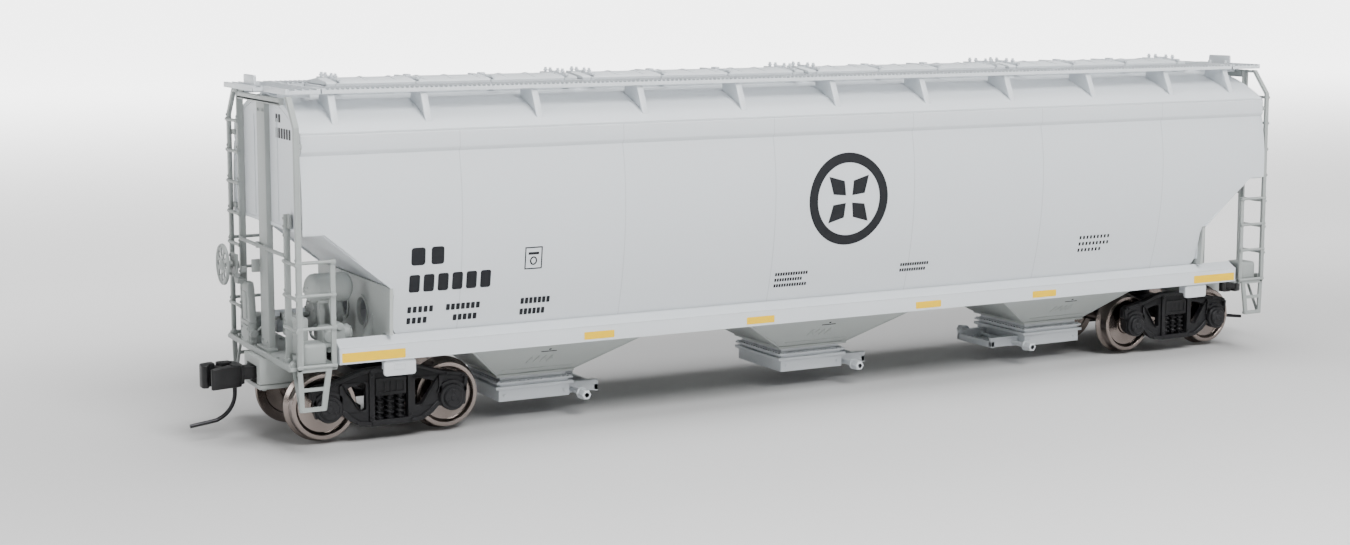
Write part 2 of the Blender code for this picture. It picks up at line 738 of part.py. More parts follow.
def make_brake_cylinder():
    """The brake cylinder on the stub sill, with its push rod."""
    body = rod(2.2, -89.6, -84.4, (0.2, 18.3), "X", 16)
    cap = rod(2.5, -89.9, -89.0, (0.2, 18.3), "X", 16)
    push = rod(0.5, -94.5, -89.0, (0.2, 18.3), "X", 8)
    foot = block((-88.6, -1.6, 14.3), (-85.4, 2.0, 17.0))
    return union(body, cap, push, foot)


def make_control_valve():
    """The control valve and its pipe bracket, standing on the platform."""
    case = block((-91.7, -12.3, 14.8), (-87.9, -9.2, 18.2), 0.5)
    side = rod(1.3, -88.3, -86.6, (-10.7, 16.9), "X", 12)
    return union(case, side)


# ---------------------------------------------------------------- the car

def build():
    body_grey = material("body_grey_plastic", (0.60, 0.63, 0.65), 0.45)
    frame_grey = material("frame_grey_plastic", (0.57, 0.60, 0.61), 0.5)
    black = material("black_plastic", (0.02, 0.02, 0.022), 0.5)
    wheel_metal = material("blackened_nickel", (0.32, 0.27, 0.25), 0.3, 1.0)
    axle_metal = material("axle_steel", (0.35, 0.33, 0.32), 0.35, 1.0)
    pin_steel = material("pin_steel", (0.05, 0.05, 0.05), 0.4, 1.0)
    screw_steel = material("screw_steel", (0.25, 0.25, 0.26), 0.35, 1.0)
    weight_steel = material("weight_steel", (0.35, 0.34, 0.33), 0.5, 1.0)

    rail_top = pivot("rail_top", (0, 0, FLANGE_DEPTH))

    add_part("body_shell", make_body_shell(), body_grey, rail_top)
    add_part("roof", make_roof(), body_grey, rail_top)
    for number, x in enumerate((-66.3, -22.1, 22.1, 66.3), 1):
        add_part(f"hatch_cover_{number}", make_hatch_cover(x), body_grey, rail_top)
    add_part("running_board_left", make_running_board(1), frame_grey, rail_top)
    add_part("running_board_right", make_running_board(-1), frame_grey, rail_top)
    add_part("side_sill_left", make_side_sill(1), body_grey, rail_top)
    add_part("side_sill_right", make_side_sill(-1), body_grey, rail_top)

    end_bay_top = SILL_HEIGHT - 0.3
    end_reach = (slope_x(end_bay_top) - BAY_SPACING, end_bay_top)
    ridge_reach = (BAY_SPACING / 2 - GAP, RIDGE_HEIGHT)
    add_part("hopper_bay_1", make_bay(-BAY_SPACING, end_reach, ridge_reach), body_grey, rail_top)
    add_part("hopper_bay_2", make_bay(0.0, ridge_reach, ridge_reach), body_grey, rail_top)
    add_part("hopper_bay_3", make_bay(BAY_SPACING, ridge_reach, end_reach), body_grey, rail_top)
    for number, (x, direction) in enumerate(((-BAY_SPACING, 1), (0.0, 1), (BAY_SPACING, -1)), 1):
        add_part(f"outlet_gate_{number}", make_outlet_gate(x, direction), frame_grey, rail_top)

    for end, turn in (("b", Matrix.Identity(4)), ("a", HALF_TURN)):
        add_part(f"end_walkway_{end}", turned_about(make_end_walkway(), turn), frame_grey, rail_top)
        add_part(f"end_platform_{end}", turned_about(make_end_platform(), turn), frame_grey, rail_top)
        add_part(f"stub_sill_{end}", turned_about(make_stub_sill(), turn), frame_grey, rail_top)
        add_part(f"draft_box_lid_{end}", turned_about(make_draft_box_lid(), turn), frame_grey, rail_top)
        add_part(f"centre_post_{end}", turned_about(make_centre_post(), turn), frame_grey, rail_top)
        for tall in (True, False):
            kind = "tall" if tall else "short"
            ladder = make_corner_ladder(tall, 1 if tall else -1)
            add_part(f"corner_ladder_{end}_{kind}", turned_about(ladder, turn), frame_grey, rail_top)

    add_part("brake_gearbox", make_brake_gearbox(), frame_grey, rail_top)
    add_part("brake_housing", make_brake_housing(), frame_grey, rail_top)
    add_part("air_reservoir", make_air_reservoir(), frame_grey, rail_top, smooth=True)
    add_part("brake_cylinder", make_brake_cylinder(), frame_grey, rail_top, smooth=True)
    add_part("control_valve", make_control_valve(), frame_grey, rail_top, smooth=True)
    wheel_axis = pivot("brake_wheel_axis", BRAKE_WHEEL, rail_top)
    add_part("brake_wheel", make_brake_wheel(), frame_grey, wheel_axis)

    weight = block((-62.0, -13.5, RIDGE_HEIGHT + GAP), (62.0, 13.5, RIDGE_HEIGHT + 3.3), 0.2)
    add_part("ballast_weight", weight, weight_steel, rail_top)

    wheelset = 0
    for end, turn, x in (("b", Matrix.Identity(4), -TRUCK_CENTRE), ("a", HALF_TURN, TRUCK_CENTRE)):
        truck = pivot(f"truck_{end}_pivot", (x, 0, 0), rail_top)
        add_part(f"truck_frame_{end}", turned_about(make_truck_frame(), turn), black, truck)
        screw = pivot(f"truck_screw_{end}_place", (x, 0, 0), rail_top)
        add_part(f"truck_screw_{end}", make_truck_screw(), screw_steel, screw, smooth=True)
        for shift in (-WHEELBASE / 2, WHEELBASE / 2):
            wheelset += 1
            axis = pivot(f"wheelset_{wheelset}_axis", (shift, 0, TREAD_RADIUS), truck)
            add_part(f"axle_{wheelset}", make_axle(), axle_metal, axis, smooth=True)
            add_part(f"wheel_{wheelset}_left", make_wheel(1), wheel_metal, axis, smooth=True)
            add_part(f"wheel_{wheelset}_right", make_wheel(-1), wheel_metal, axis, smooth=True)
        reach = -COUPLER_PIVOT if x < 0 else COUPLER_PIVOT
        swing = pivot(f"coupler_{end}_pivot", (reach, 0, 0), rail_top)
        add_part(f"coupler_{end}", turned_about(make_coupler(), turn), black, swing)
        add_part(f"knuckle_{end}", turned_about(make_knuckle(), turn), black, swing)
        add_part(f"trip_pin_{end}", turned_about(make_trip_pin(), turn), pin_steel, swing, smooth=True)


clear_scene()
CAR = new_collection(COLLECTION)
build()
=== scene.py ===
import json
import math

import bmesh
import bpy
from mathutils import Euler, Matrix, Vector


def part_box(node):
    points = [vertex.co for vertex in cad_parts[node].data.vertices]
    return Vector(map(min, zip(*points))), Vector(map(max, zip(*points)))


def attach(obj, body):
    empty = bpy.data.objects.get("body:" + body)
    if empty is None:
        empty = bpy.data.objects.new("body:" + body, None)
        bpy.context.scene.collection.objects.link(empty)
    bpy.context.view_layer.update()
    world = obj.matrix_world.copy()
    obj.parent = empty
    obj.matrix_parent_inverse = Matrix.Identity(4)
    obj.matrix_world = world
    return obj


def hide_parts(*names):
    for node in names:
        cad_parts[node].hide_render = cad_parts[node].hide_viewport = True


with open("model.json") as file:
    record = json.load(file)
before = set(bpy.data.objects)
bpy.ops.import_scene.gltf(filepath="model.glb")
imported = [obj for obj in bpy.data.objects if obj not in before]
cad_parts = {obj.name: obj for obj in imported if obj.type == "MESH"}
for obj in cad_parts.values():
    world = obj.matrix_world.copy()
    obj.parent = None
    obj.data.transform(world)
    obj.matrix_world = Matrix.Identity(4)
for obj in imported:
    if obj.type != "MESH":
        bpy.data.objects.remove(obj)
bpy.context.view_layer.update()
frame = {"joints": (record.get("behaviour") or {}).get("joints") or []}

# Finished surfaces, small fittings, stage and camera of the model hopper car.
#
# Lengths are in millimetres above the rail top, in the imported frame's own axes; finish_piece turns them
# into metres and lifts them by one flange depth. The B end is the one with the hand brake, at -X.
# Everything at an end is drawn at the B end and turned by HALF_TURN for the A end. A pair of numbers in an
# outline is X and Y, X and Z, or Y and Z, as its plate's plane says.

MM = 0.001
FLANGE_DEPTH = 0.6


def span(node):
    """A CAD node's lowest and highest corner, in millimetres above the rail top."""
    low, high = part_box(node)
    lift = Vector((0, 0, FLANGE_DEPTH))
    return low / MM - lift, high / MM - lift


def joint_place(name):
    """A joint's place, in millimetres above the rail."""
    for joint in frame["joints"]:
        if joint["name"] == name:
            return Vector(joint["pos_m"]) / MM - Vector((0, 0, FLANGE_DEPTH))
    raise ValueError(name)


# Main sizes, read from the frame.
BODY_END = span("body_shell")[1].x
SILL_END, SILL_FACE, _ = span("side_sill_left")[1]
TRUCK_X = joint_place("truck_a_swivel").x
WHEEL_LOW, WHEEL_HIGH = span("wheel_4_left")
AXLE_Z = joint_place("wheelset_4_spin").z
BOARD_LOW, BOARD_HIGH = span("running_board_left")
GATE_REACH = 12.7  # from a bay's middle to the far end of its gate's rails
BAY_X = span("outlet_gate_3")[0].x + GATE_REACH
BRAKE_WHEEL = joint_place("brake_wheel_spin")
COUPLER_X = joint_place("coupler_a_swing").x
PLATFORM_BOTTOM = span("end_platform_b")[0].z

# Sizes of the sheets and of shared features, which the frame's boxes don't give.
PAD_X = 81.0
SIDE_WIDEST = 18.42
SIDE_WIDEST_HEIGHT = 36.0
LOWER_SIDE_RADIUS = 60.0
UPPER_SIDE_RADIUS = 39.0
SILL_HEIGHT = 16.1
CHORD_LOW = 45.1
CHORD_TOP = 48.3
CHORD_FACE = 17.75
ROOF_RADIUS = 32.2
ROOF_CROWN = 53.7
ROOF_SPAN = 17.55
WALL = 0.8
GAP = 0.08
END_SHEET_BOTTOM = 33.3
SLOPE_START = 93.2
SLOPE = math.tan(math.radians(39.1))
SIDE_END_LOW = 81.8
SIDE_END_SLOPE = 82.3
CHUTE_BOTTOM = 6.6
SIDES = (-1, 1)
SEAMS = (14.15, 42.5, 70.85)
SEAM_WIDTH = 0.16
GUSSETS = [0.0] + [side * x for x in (18.75, 37.4, 56.3, 75.1, 90.1) for side in SIDES]
BEYOND = 30.0  # past the car's sides, for cutting shapes that go right through
AS_DRAWN = Matrix.Identity(4)
HALF_TURN = Matrix.Rotation(math.pi, 4, "Z")


# ---------------------------------------------------------------- nodes as Python expressions

class Plug:
    """A node's output that takes part in Python expressions."""

    def __init__(self, tree, socket):
        self.tree = tree
        self.socket = socket

    def maths(self, operation, *values):
        return node(self.tree, "ShaderNodeMath", {"operation": operation}, dict(enumerate(values)))

    def __add__(self, other):
        return self.maths("ADD", self, other)

    def __radd__(self, other):
        return self.maths("ADD", other, self)

    def __sub__(self, other):
        return self.maths("SUBTRACT", self, other)

    def __mul__(self, other):
        return self.maths("MULTIPLY", self, other)

    def __truediv__(self, other):
        return self.maths("DIVIDE", self, other)

    def __lt__(self, other):
        return self.maths("LESS_THAN", self, other)

    def size(self):
        return self.maths("ABSOLUTE", self)

    def sine(self):
        return self.maths("SINE", self)

    def part(self, letter):
        return node(self.tree, "ShaderNodeSeparateXYZ", {}, {0: self}, letter)


def node(tree, kind, settings, values, output=0):
    """A new node: its settings first, then the values or links of its inputs; returns an output."""
    made = tree.nodes.new(kind)
    for key, value in settings.items():
        setattr(made, key, value)
    for key, value in values.items():
        socket = made.inputs[key]
        if isinstance(value, Plug):
            tree.links.new(value.socket, socket)
        else:
            socket.default_value = value
    return Plug(tree, made.outputs[output])


class Finish:
    """A Principled material that is built up with Plug expressions."""

    def __init__(self, name, colour, roughness, metallic=0.0, **constants):
        self.material = bpy.data.materials.new(name)
        self.material.use_nodes = True
        self.tree = self.material.node_tree
        self.shader = self.tree.nodes["Principled BSDF"]
        self.material.diffuse_color = (*colour, 1.0)
        self.set("Base Color", (*colour, 1.0))
        self.set("Roughness", roughness)
        self.set("Metallic", metallic)
        for key, value in constants.items():
            self.set(key.replace("_", " "), value)

    def set(self, name, value):
        socket = self.shader.inputs[name]
        if isinstance(value, Plug):
            self.tree.links.new(value.socket, socket)
        else:
            socket.default_value = value

    def add(self, kind, settings=None, values=None, output=0):
        return node(self.tree, kind, settings or {}, values or {}, output)

    def place(self):
        return self.add("ShaderNodeTexCoord", output="Object")

    def noise(self, scale, detail=2.0, rough=0.5):
        values = {"Vector": self.place(), "Scale": scale, "Detail": detail, "Roughness": rough}
        return self.add("ShaderNodeTexNoise", {}, values, "Fac")

    def blend(self, factor, first, second):
        """The second colour over the first, which is a colour or another node's output."""
        below = first if isinstance(first, Plug) else (*first, 1.0)
        return self.add("ShaderNodeMix", {"data_type": "RGBA"}, {0: factor, 6: below, 7: (*second, 1.0)}, 2)

    def bump(self, height, distance, strength=1.0):
        values = {"Height": height, "Distance": distance, "Strength": strength}
        self.set("Normal", self.add("ShaderNodeBump", {}, values))


def satin_grey(name, colour, roughness, patch=0.012, seams=()):
    """Light grey paint on moulded plastic: faint cloudiness, fine sprayed texture and a soft sheen.

    Thin darker lines run round the car at the seams, given in millimetres from its middle.
    """
    finish = Finish(name, colour, roughness, Specular_IOR_Level=0.45)
    cloud = finish.noise(35.0, 3.0, 0.6)
    fine = finish.noise(2600.0, 2.0, 0.6)
    dark = [channel * (1 - 3.2 * patch) for channel in colour]
    light = [channel * (1 + 2.0 * patch) for channel in colour]
    paint = finish.blend(cloud, dark, light)
    if seams:
        along = finish.place().part(0).size()
        line = sum((((along - seam * MM).size() < SEAM_WIDTH / 2 * MM) for seam in seams[1:]),
                   (along - seams[0] * MM).size() < SEAM_WIDTH / 2 * MM)
        paint = finish.blend(line * 0.55, paint, [channel * 0.72 for channel in colour])
    finish.set("Base Color", paint)
    finish.set("Roughness", roughness - 0.07 + fine * 0.10 + cloud * 0.05)
    finish.bump(fine, 0.000012, 0.5)
    return finish


def black_plastic(name, colour, roughness, shine):
    """Black acetal: a dry surface with a little dust in its grain."""
    finish = Finish(name, colour, roughness, Specular_IOR_Level=shine)
    grain = finish.noise(1800.0, 3.0, 0.6)
    dust = finish.noise(220.0, 4.0, 0.7)
    finish.set("Base Color", finish.blend(dust, colour, [channel * 1.9 + 0.004 for channel in colour]))
    finish.set("Roughness", roughness - 0.06 + grain * 0.16)
    finish.bump(grain, 0.00002, 0.6)
    return finish


def turned_metal(name, colour, tint, roughness, ring=0.00009):
    """Turned metal with fine concentric tool marks, read from each point's distance to the axle."""
    finish = Finish(name, colour, roughness, 1.0)
    radius = finish.add("ShaderNodeAttribute", {"attribute_name": "axle_distance"}, {}, "Fac")
    wave = (radius * (2 * math.pi / ring)).sine() * 0.5 + 0.5
    cloud = finish.noise(120.0, 2.0, 0.5)
    finish.set("Base Color", finish.blend(cloud, colour, tint))
    finish.set("Roughness", roughness + cloud * 0.08 + wave * 0.05)
    finish.bump(wave, 0.000006, 0.3)
    return finish


def plain_metal(name, colour, roughness):
    """Bare or blackened steel with a fine uneven grain."""
    finish = Finish(name, colour, roughness, 1.0)
    cloud = finish.noise(420.0, 3.0, 0.6)
    finish.set("Base Color", finish.blend(cloud, colour, [channel * 1.25 for channel in colour]))
    finish.set("Roughness", roughness - 0.05 + cloud * 0.15)
    finish.bump(cloud, 0.00001, 0.5)
    return finish


def printed_ink(name, colour, roughness):
    """Pad-printed ink with slightly uneven cover."""
    finish = Finish(name, colour, roughness, Specular_IOR_Level=0.15)
    cloud = finish.noise(900.0, 3.0, 0.6)
    finish.set("Base Color", finish.blend(cloud, colour, [channel * 0.88 + 0.012 for channel in colour]))
    finish.set("Roughness", roughness - 0.05 + cloud * 0.1)
    return finish


BODY_PAINT = satin_grey("body_paint", (0.620, 0.652, 0.680), 0.42, seams=SEAMS)
PLAIN_PAINT = satin_grey("plain_paint", (0.620, 0.652, 0.680), 0.40)
# Darker grey for the ladders, posts, platforms and brake fittings: partly their own darker plastic, partly painted
# shade that these parts catch at the ends of the car.
TRIM_PAINT = satin_grey("trim_paint", (0.310, 0.333, 0.325), 0.45)
# Painted shade: a darker copy of the body grey for the bays, stub sills, draft box lids and brake gear, which sit
# in shade under and at the ends of the car.
PAINTED_SHADE_GREY = satin_grey("painted_shade_grey", (0.400, 0.425, 0.414), 0.50)
BLACK = black_plastic("black_acetal", (0.0065, 0.0065, 0.0075), 0.46, 0.3)
COUPLER_BLACK = black_plastic("coupler_black", (0.0045, 0.0045, 0.005), 0.36, 0.35)
WHEEL_METAL = turned_metal("blackened_nickel", (0.235, 0.198, 0.180), (0.300, 0.258, 0.238), 0.17)
AXLE_METAL = plain_metal("axle_steel", (0.14, 0.115, 0.105), 0.32)
PIN_METAL = plain_metal("blackened_wire", (0.03, 0.03, 0.032), 0.36)
SCREW_METAL = plain_metal("blackened_screw", (0.16, 0.16, 0.17), 0.38)
WEIGHT_METAL = plain_metal("ballast_steel", (0.33, 0.32, 0.31), 0.48)
DARK_INK = printed_ink("dark_print", (0.010, 0.011, 0.014), 0.5)
YELLOW_INK = printed_ink("yellow_print", (0.95, 0.59, 0.0), 0.5)


# ---------------------------------------------------------------- mesh tools

def new_object(name, data):
    """An object in the scene that holds the given data."""
    made = bpy.data.objects.new(name, data)
    bpy.context.scene.collection.objects.link(made)
    return made


def baked(made):
    """The object's evaluated mesh; the object itself is removed."""
    bpy.context.view_layer.update()
    graph = bpy.context.evaluated_depsgraph_get()
    mesh = bpy.data.meshes.new_from_object(made.evaluated_get(graph), depsgraph=graph)
    bpy.data.objects.remove(made, do_unlink=True)
    return mesh


def from_bmesh(shape):
    """A mesh from an edit mesh, which is freed."""
    mesh = bpy.data.meshes.new("shape")
    shape.to_mesh(mesh)
    shape.free()
    return mesh


PLANES = {
    "XY": Matrix(((1, 0, 0), (0, 1, 0), (0, 0, 1))).to_4x4(),
    "XZ": Matrix(((1, 0, 0), (0, 0, -1), (0, 1, 0))).to_4x4(),
    "YZ": Matrix(((0, 0, 1), (1, 0, 0), (0, 1, 0))).to_4x4(),
}


def plate(loops, low, high, plane):
    """A flat outline, with holes as further loops, that runs between two places across its plane."""
    low, high = sorted((low, high))
    curve = bpy.data.curves.new("outline", "CURVE")
    curve.dimensions = "2D"
    curve.fill_mode = "BOTH"
    curve.extrude = (high - low) / 2
    for loop in loops:
        spline = curve.splines.new("POLY")
        spline.points.add(len(loop) - 1)
        for point, (x, y) in zip(spline.points, loop):
            point.co = (x, y, 0, 1)
        spline.use_cyclic_u = True
    mesh = baked(new_object("outline", curve))
    shape = bmesh.new()
    shape.from_mesh(mesh)
    bmesh.ops.remove_doubles(shape, verts=shape.verts, dist=1e-4)
    bmesh.ops.recalc_face_normals(shape, faces=shape.faces)
    mesh = from_bmesh(shape)
    middle = (high + low) / 2 * (-1 if plane == "XZ" else 1)
    mesh.transform(PLANES[plane] @ Matrix.Translation((0, 0, middle)))
    return mesh


def block(corner, opposite, bevel=0.0, segments=2):
    """A box between two opposite corners, with rounded edges."""
    low, high = zip(*(sorted(pair) for pair in zip(corner, opposite)))
    shape = bmesh.new()
    bmesh.ops.create_cube(shape, size=1.0)
    bmesh.ops.scale(shape, vec=[b - a for a, b in zip(low, high)], verts=shape.verts)
    if bevel:
        bmesh.ops.bevel(shape, geom=shape.edges, offset=bevel, segments=segments, affect="EDGES", profile=0.6)
    bmesh.ops.translate(shape, vec=[(a + b) / 2 for a, b in zip(low, high)], verts=shape.verts)
    return from_bmesh(shape)


def turned(profile, segments=32, axis="Z", place=(0, 0, 0), closed=False, keep_radius=False):
    """A lathe shape from (radius, height) pairs listed along its outer side, about an axis through place."""
    shape = bmesh.new()
    rings = []
    for radius, height in profile:
        if radius < 1e-5:
            rings.append([shape.verts.new((0, 0, height))])
            continue
        ring = []
        for step in range(segments):
            angle = 2 * math.pi * step / segments
            ring.append(shape.verts.new((radius * math.cos(angle), radius * math.sin(angle), height)))
        rings.append(ring)
    pairs = list(zip(rings, rings[1:]))
    if closed:
        pairs.append((rings[-1], rings[0]))
    for first, second in pairs:
        for step in range(segments):
            after = (step + 1) % segments
            if len(first) == 1:
                shape.faces.new((first[0], second[after], second[step]))
            elif len(second) == 1:
                shape.faces.new((first[step], first[after], second[0]))
            else:
                shape.faces.new((first[step], first[after], second[after], second[step]))
    bmesh.ops.recalc_face_normals(shape, faces=shape.faces)
    if keep_radius:
        layer = shape.verts.layers.float.new("axle_distance")
        for vert in shape.verts:
            vert[layer] = math.hypot(vert.co.x, vert.co.y) * MM
    turn = {"Z": AS_DRAWN, "X": Matrix.Rotation(math.pi / 2, 4, "Y"),
            "Y": Matrix.Rotation(-math.pi / 2, 4, "X")}[axis]
    mesh = from_bmesh(shape)
    mesh.transform(Matrix.Translation(place) @ turn)
    return mesh


def rod(radius, low, high, centre, axis, segments=16, chamfer=0.0):
    """A round bar with chamfered ends; centre holds its other two coordinates."""
    low, high = sorted((low, high))
    profile = [(0, low), (radius - chamfer, low), (radius, low + chamfer), (radius, high - chamfer),
               (radius - chamfer, high), (0, high)]
    if not chamfer:
        profile = [(0, low), (radius, low), (radius, high), (0, high)]
    place = {"X": (0, *centre), "Y": (centre[0], 0, centre[1]), "Z": (*centre, 0)}[axis]
    return turned(profile, segments, axis, place)


def tube(points, radius, resolution=3, smooth=True):
    """A round wire or pipe along a smooth line through the points."""
    curve = bpy.data.curves.new("wire", "CURVE")
    curve.dimensions = "3D"
    curve.bevel_depth = radius
    curve.bevel_resolution = resolution
    curve.use_fill_caps = True
    if smooth and len(points) > 2:
        points = smooth_line([Vector(point) for point in points])
    spline = curve.splines.new("POLY")
    spline.points.add(len(points) - 1)
    for point, place in zip(spline.points, points):
        point.co = (*place, 1)
    mesh = baked(new_object("wire", curve))
    shape = bmesh.new()
    shape.from_mesh(mesh)
    bmesh.ops.remove_doubles(shape, verts=shape.verts, dist=1e-4)
    return from_bmesh(shape)


def smooth_line(points, steps=6):
    """Points of a smooth curve through the given points."""
    line = []
    padded = [points[0] * 2 - points[1]] + points + [points[-1] * 2 - points[-2]]
    for index in range(1, len(padded) - 2):
        a, b, c, d = padded[index - 1:index + 3]
        for step in range(steps):
            t = step / steps
            line.append(0.5 * ((2 * b) + (c - a) * t + (2 * a - 5 * b + 4 * c - d) * t * t
                               + (3 * b - a - 3 * c + d) * t ** 3))
    line.append(points[-1])
    return line


def combine(mesh, other, operation):
    """An exact Boolean of two shapes."""
    base = new_object("base", mesh)
    tool = new_object("tool", other)
    change = base.modifiers.new("Boolean", "BOOLEAN")
    change.operation = operation
    change.solver = "EXACT"
    change.object = tool
    result = baked(base)
    bpy.data.objects.remove(tool, do_unlink=True)
    return result


def cut(mesh, *cutters):
    """A shape less each of the cutters."""
    for cutter in cutters:
        mesh = combine(mesh, cutter, "DIFFERENCE")
    return mesh


def softened(mesh, width, segments=2, angle=38):
    """Rounded edges on a shape with flat faces."""
    made = new_object("soft", mesh)
    bevel = made.modifiers.new("Bevel", "BEVEL")
    bevel.width = width
    bevel.segments = segments
    bevel.limit_method = "ANGLE"
    bevel.angle_limit = math.radians(angle)
    return baked(made)


def joined(*meshes):
    """Several shapes as one mesh; lists of shapes are taken in turn."""
    shape = bmesh.new()
    radius_layer = shape.verts.layers.float.new("axle_distance")
    for mesh in flat_list(meshes):
        shape.from_mesh(mesh)
    if not any(vert[radius_layer] for vert in shape.verts):
        shape.verts.layers.float.remove(radius_layer)
    return from_bmesh(shape)


def flat_list(items):
    """The items of nested lists, one by one."""
    for item in items:
        if isinstance(item, (list, tuple)):
            yield from flat_list(item)
        else:
            yield item


def moved(mesh, matrix):
    """A moved copy of a shape."""
    copy = mesh.copy()
    copy.transform(matrix)
    return copy


def arc(centre, radius, start, end, count):
    """Points along a circle between two angles in degrees."""
    points = []
    for step in range(count + 1):
        angle = math.radians(start + (end - start) * step / count)
        points.append((centre[0] + radius * math.cos(angle), centre[1] + radius * math.sin(angle)))
    return points


def oval(centre, half_width, half_height, count=24):
    """A closed outline of an ellipse."""
    return [(centre[0] + half_width * math.cos(2 * math.pi * step / count),
             centre[1] + half_height * math.sin(2 * math.pi * step / count)) for step in range(count)]


def rectangle(left, right, bottom, top):
    """A closed outline with four square corners."""
    return [(left, bottom), (right, bottom), (right, top), (left, top)]


def rounded_rectangle(left, right, bottom, top, radius, count=4):
    """A closed outline with four round corners; left and right may change places."""
    left, right = sorted((left, right))
    corners = [(right - radius, top - radius, 0), (left + radius, top - radius, 90),
               (left + radius, bottom + radius, 180), (right - radius, bottom + radius, 270)]
    points = []
    for x, y, start in corners:
        points += arc((x, y), radius, start, start + 90, count)
    return points


def both_halves(half):
    """A closed outline from the half of it on the positive side."""
    return half + [(-across, up) for across, up in reversed(half)]


def on_side(side, outline):
    """An outline drawn on the positive side, on the given side."""
    return [(side * across, up) for across, up in outline]


def pressed(outline, low, high, plane, width=0.07, segments=2, angle=38):
    """A plate of one outline with rounded edges."""
    return softened(plate([outline], low, high, plane), width, segments, angle)


def finish_piece(name, mesh, finish, body, replaces=(), sharp=38):
    """A finished piece: metres, lifted to the frame's floor, shaded, and riding on its body."""
    mesh.transform(Matrix.Scale(MM, 4) @ Matrix.Translation((0, 0, FLANGE_DEPTH)))
    mesh.name = name
    mesh.materials.clear()
    mesh.materials.append(finish.material)
    for face in mesh.polygons:
        face.material_index = 0
    mesh.shade_smooth()
    mesh.set_sharp_from_angle(angle=math.radians(sharp))
    made = new_object(name, mesh)
    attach(made, body)
    if replaces:
        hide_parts(*replaces)
    return made


# ---------------------------------------------------------------- geometry node trees

def geometry_tree(name, inputs):
    """A new geometry tree with its labelled inputs as plugs."""
    tree = bpy.data.node_groups.new(name, "GeometryNodeTree")
    tree.interface.new_socket("Geometry", in_out="INPUT", socket_type="NodeSocketGeometry")
    for label, kind, value in inputs:
        socket = tree.interface.new_socket(label, in_out="INPUT", socket_type=kind)
        if value is not None:
            socket.default_value = value
    tree.interface.new_socket("Geometry", in_out="OUTPUT", socket_type="NodeSocketGeometry")
    entry = tree.nodes.new("NodeGroupInput")
    plugs = {socket.name: Plug(tree, socket) for socket in entry.outputs if socket.name}
    return tree, plugs


def close_tree(tree, shape, plugs):
    """Ends a tree in Realize Instances and Set Material."""
    solid = node(tree, "GeometryNodeRealizeInstances", {}, {0: shape})
    painted = node(tree, "GeometryNodeSetMaterial", {}, {"Geometry": solid, "Material": plugs["Finish"]})
    exit_node = tree.nodes.new("NodeGroupOutput")
    tree.links.new(painted.socket, exit_node.inputs[0])


def copies_tree():
    """A shape on each point of the host, turned by the point's own turn."""
    tree, plugs = geometry_tree("copies_on_points", [
        ("Shape", "NodeSocketObject", None), ("Finish", "NodeSocketMaterial", None)])
    shape = node(tree, "GeometryNodeObjectInfo", {}, {"Object": plugs["Shape"]}, "Geometry")
    turn = node(tree, "GeometryNodeInputNamedAttribute", {"data_type": "FLOAT_VECTOR"}, {"Name": "turn"})
    repeated = node(tree, "GeometryNodeInstanceOnPoints", {}, {
        "Points": plugs["Geometry"], "Instance": shape, "Rotation": turn})
    close_tree(tree, repeated, plugs)
    return tree


def grating_tree():
    """An open grating: bars along X at one pitch and bars across them at another."""
    tree, plugs = geometry_tree("open_grating", [
        ("Length", "NodeSocketFloat", 100.0), ("Width", "NodeSocketFloat", 7.0),
        ("Long Pitch", "NodeSocketFloat", 1.2), ("Cross Pitch", "NodeSocketFloat", 0.9),
        ("Bar Width", "NodeSocketFloat", 0.22), ("Bar Height", "NodeSocketFloat", 0.7),
        ("Finish", "NodeSocketMaterial", None)])
    whole = {"operation": "ROUND"}
    length, width, thick, height = (plugs[name] for name in ("Length", "Width", "Bar Width", "Bar Height"))
    long_count = node(tree, "ShaderNodeMath", whole, {0: width / plugs["Long Pitch"]}) + 1
    cross_count = node(tree, "ShaderNodeMath", whole, {0: length / plugs["Cross Pitch"]}) + 1

    def vector(*values):
        return node(tree, "ShaderNodeCombineXYZ", {}, dict(enumerate(values)))

    both = tree.nodes.new("GeometryNodeJoinGeometry")
    for count, bar_size, start, step in (
            (long_count, vector(length, thick, height * 0.7), vector(0, width * -0.5, height * -0.1),
             vector(0, width / (long_count - 1), 0)),
            (cross_count, vector(thick, width, height), vector(length * -0.5, 0, height * 0.05),
             vector(length / (cross_count - 1), 0, 0))):
        bar = node(tree, "GeometryNodeMeshCube", {}, {"Size": bar_size})
        line = node(tree, "GeometryNodeMeshLine", {}, {"Count": count, "Start Location": start, "Offset": step})
        bars = node(tree, "GeometryNodeInstanceOnPoints", {}, {"Points": line, "Instance": bar})
        tree.links.new(bars.socket, both.inputs[0])
    close_tree(tree, Plug(tree, both.outputs[0]), plugs)
    return tree


def coil_tree():
    """A coil spring of round wire on each point of the host."""
    tree, plugs = geometry_tree("coil_springs", [
        ("Turns", "NodeSocketFloat", 4.0), ("Radius", "NodeSocketFloat", 0.6),
        ("Height", "NodeSocketFloat", 3.0), ("Wire", "NodeSocketFloat", 0.15),
        ("Finish", "NodeSocketMaterial", None)])
    spiral = node(tree, "GeometryNodeCurveSpiral", {}, {
        "Resolution": 14, "Rotations": plugs["Turns"], "Start Radius": plugs["Radius"],
        "End Radius": plugs["Radius"], "Height": plugs["Height"]})
    ring = node(tree, "GeometryNodeCurvePrimitiveCircle", {"mode": "RADIUS"}, {
        "Resolution": 6, "Radius": plugs["Wire"]})
    wire = node(tree, "GeometryNodeCurveToMesh", {}, {
        "Curve": spiral, "Profile Curve": ring, "Fill Caps": True})
    coils = node(tree, "GeometryNodeInstanceOnPoints", {}, {"Points": plugs["Geometry"], "Instance": wire})
    close_tree(tree, coils, plugs)
    return tree


TREES = {"copies": copies_tree(), "grating": grating_tree(), "coil": coil_tree()}


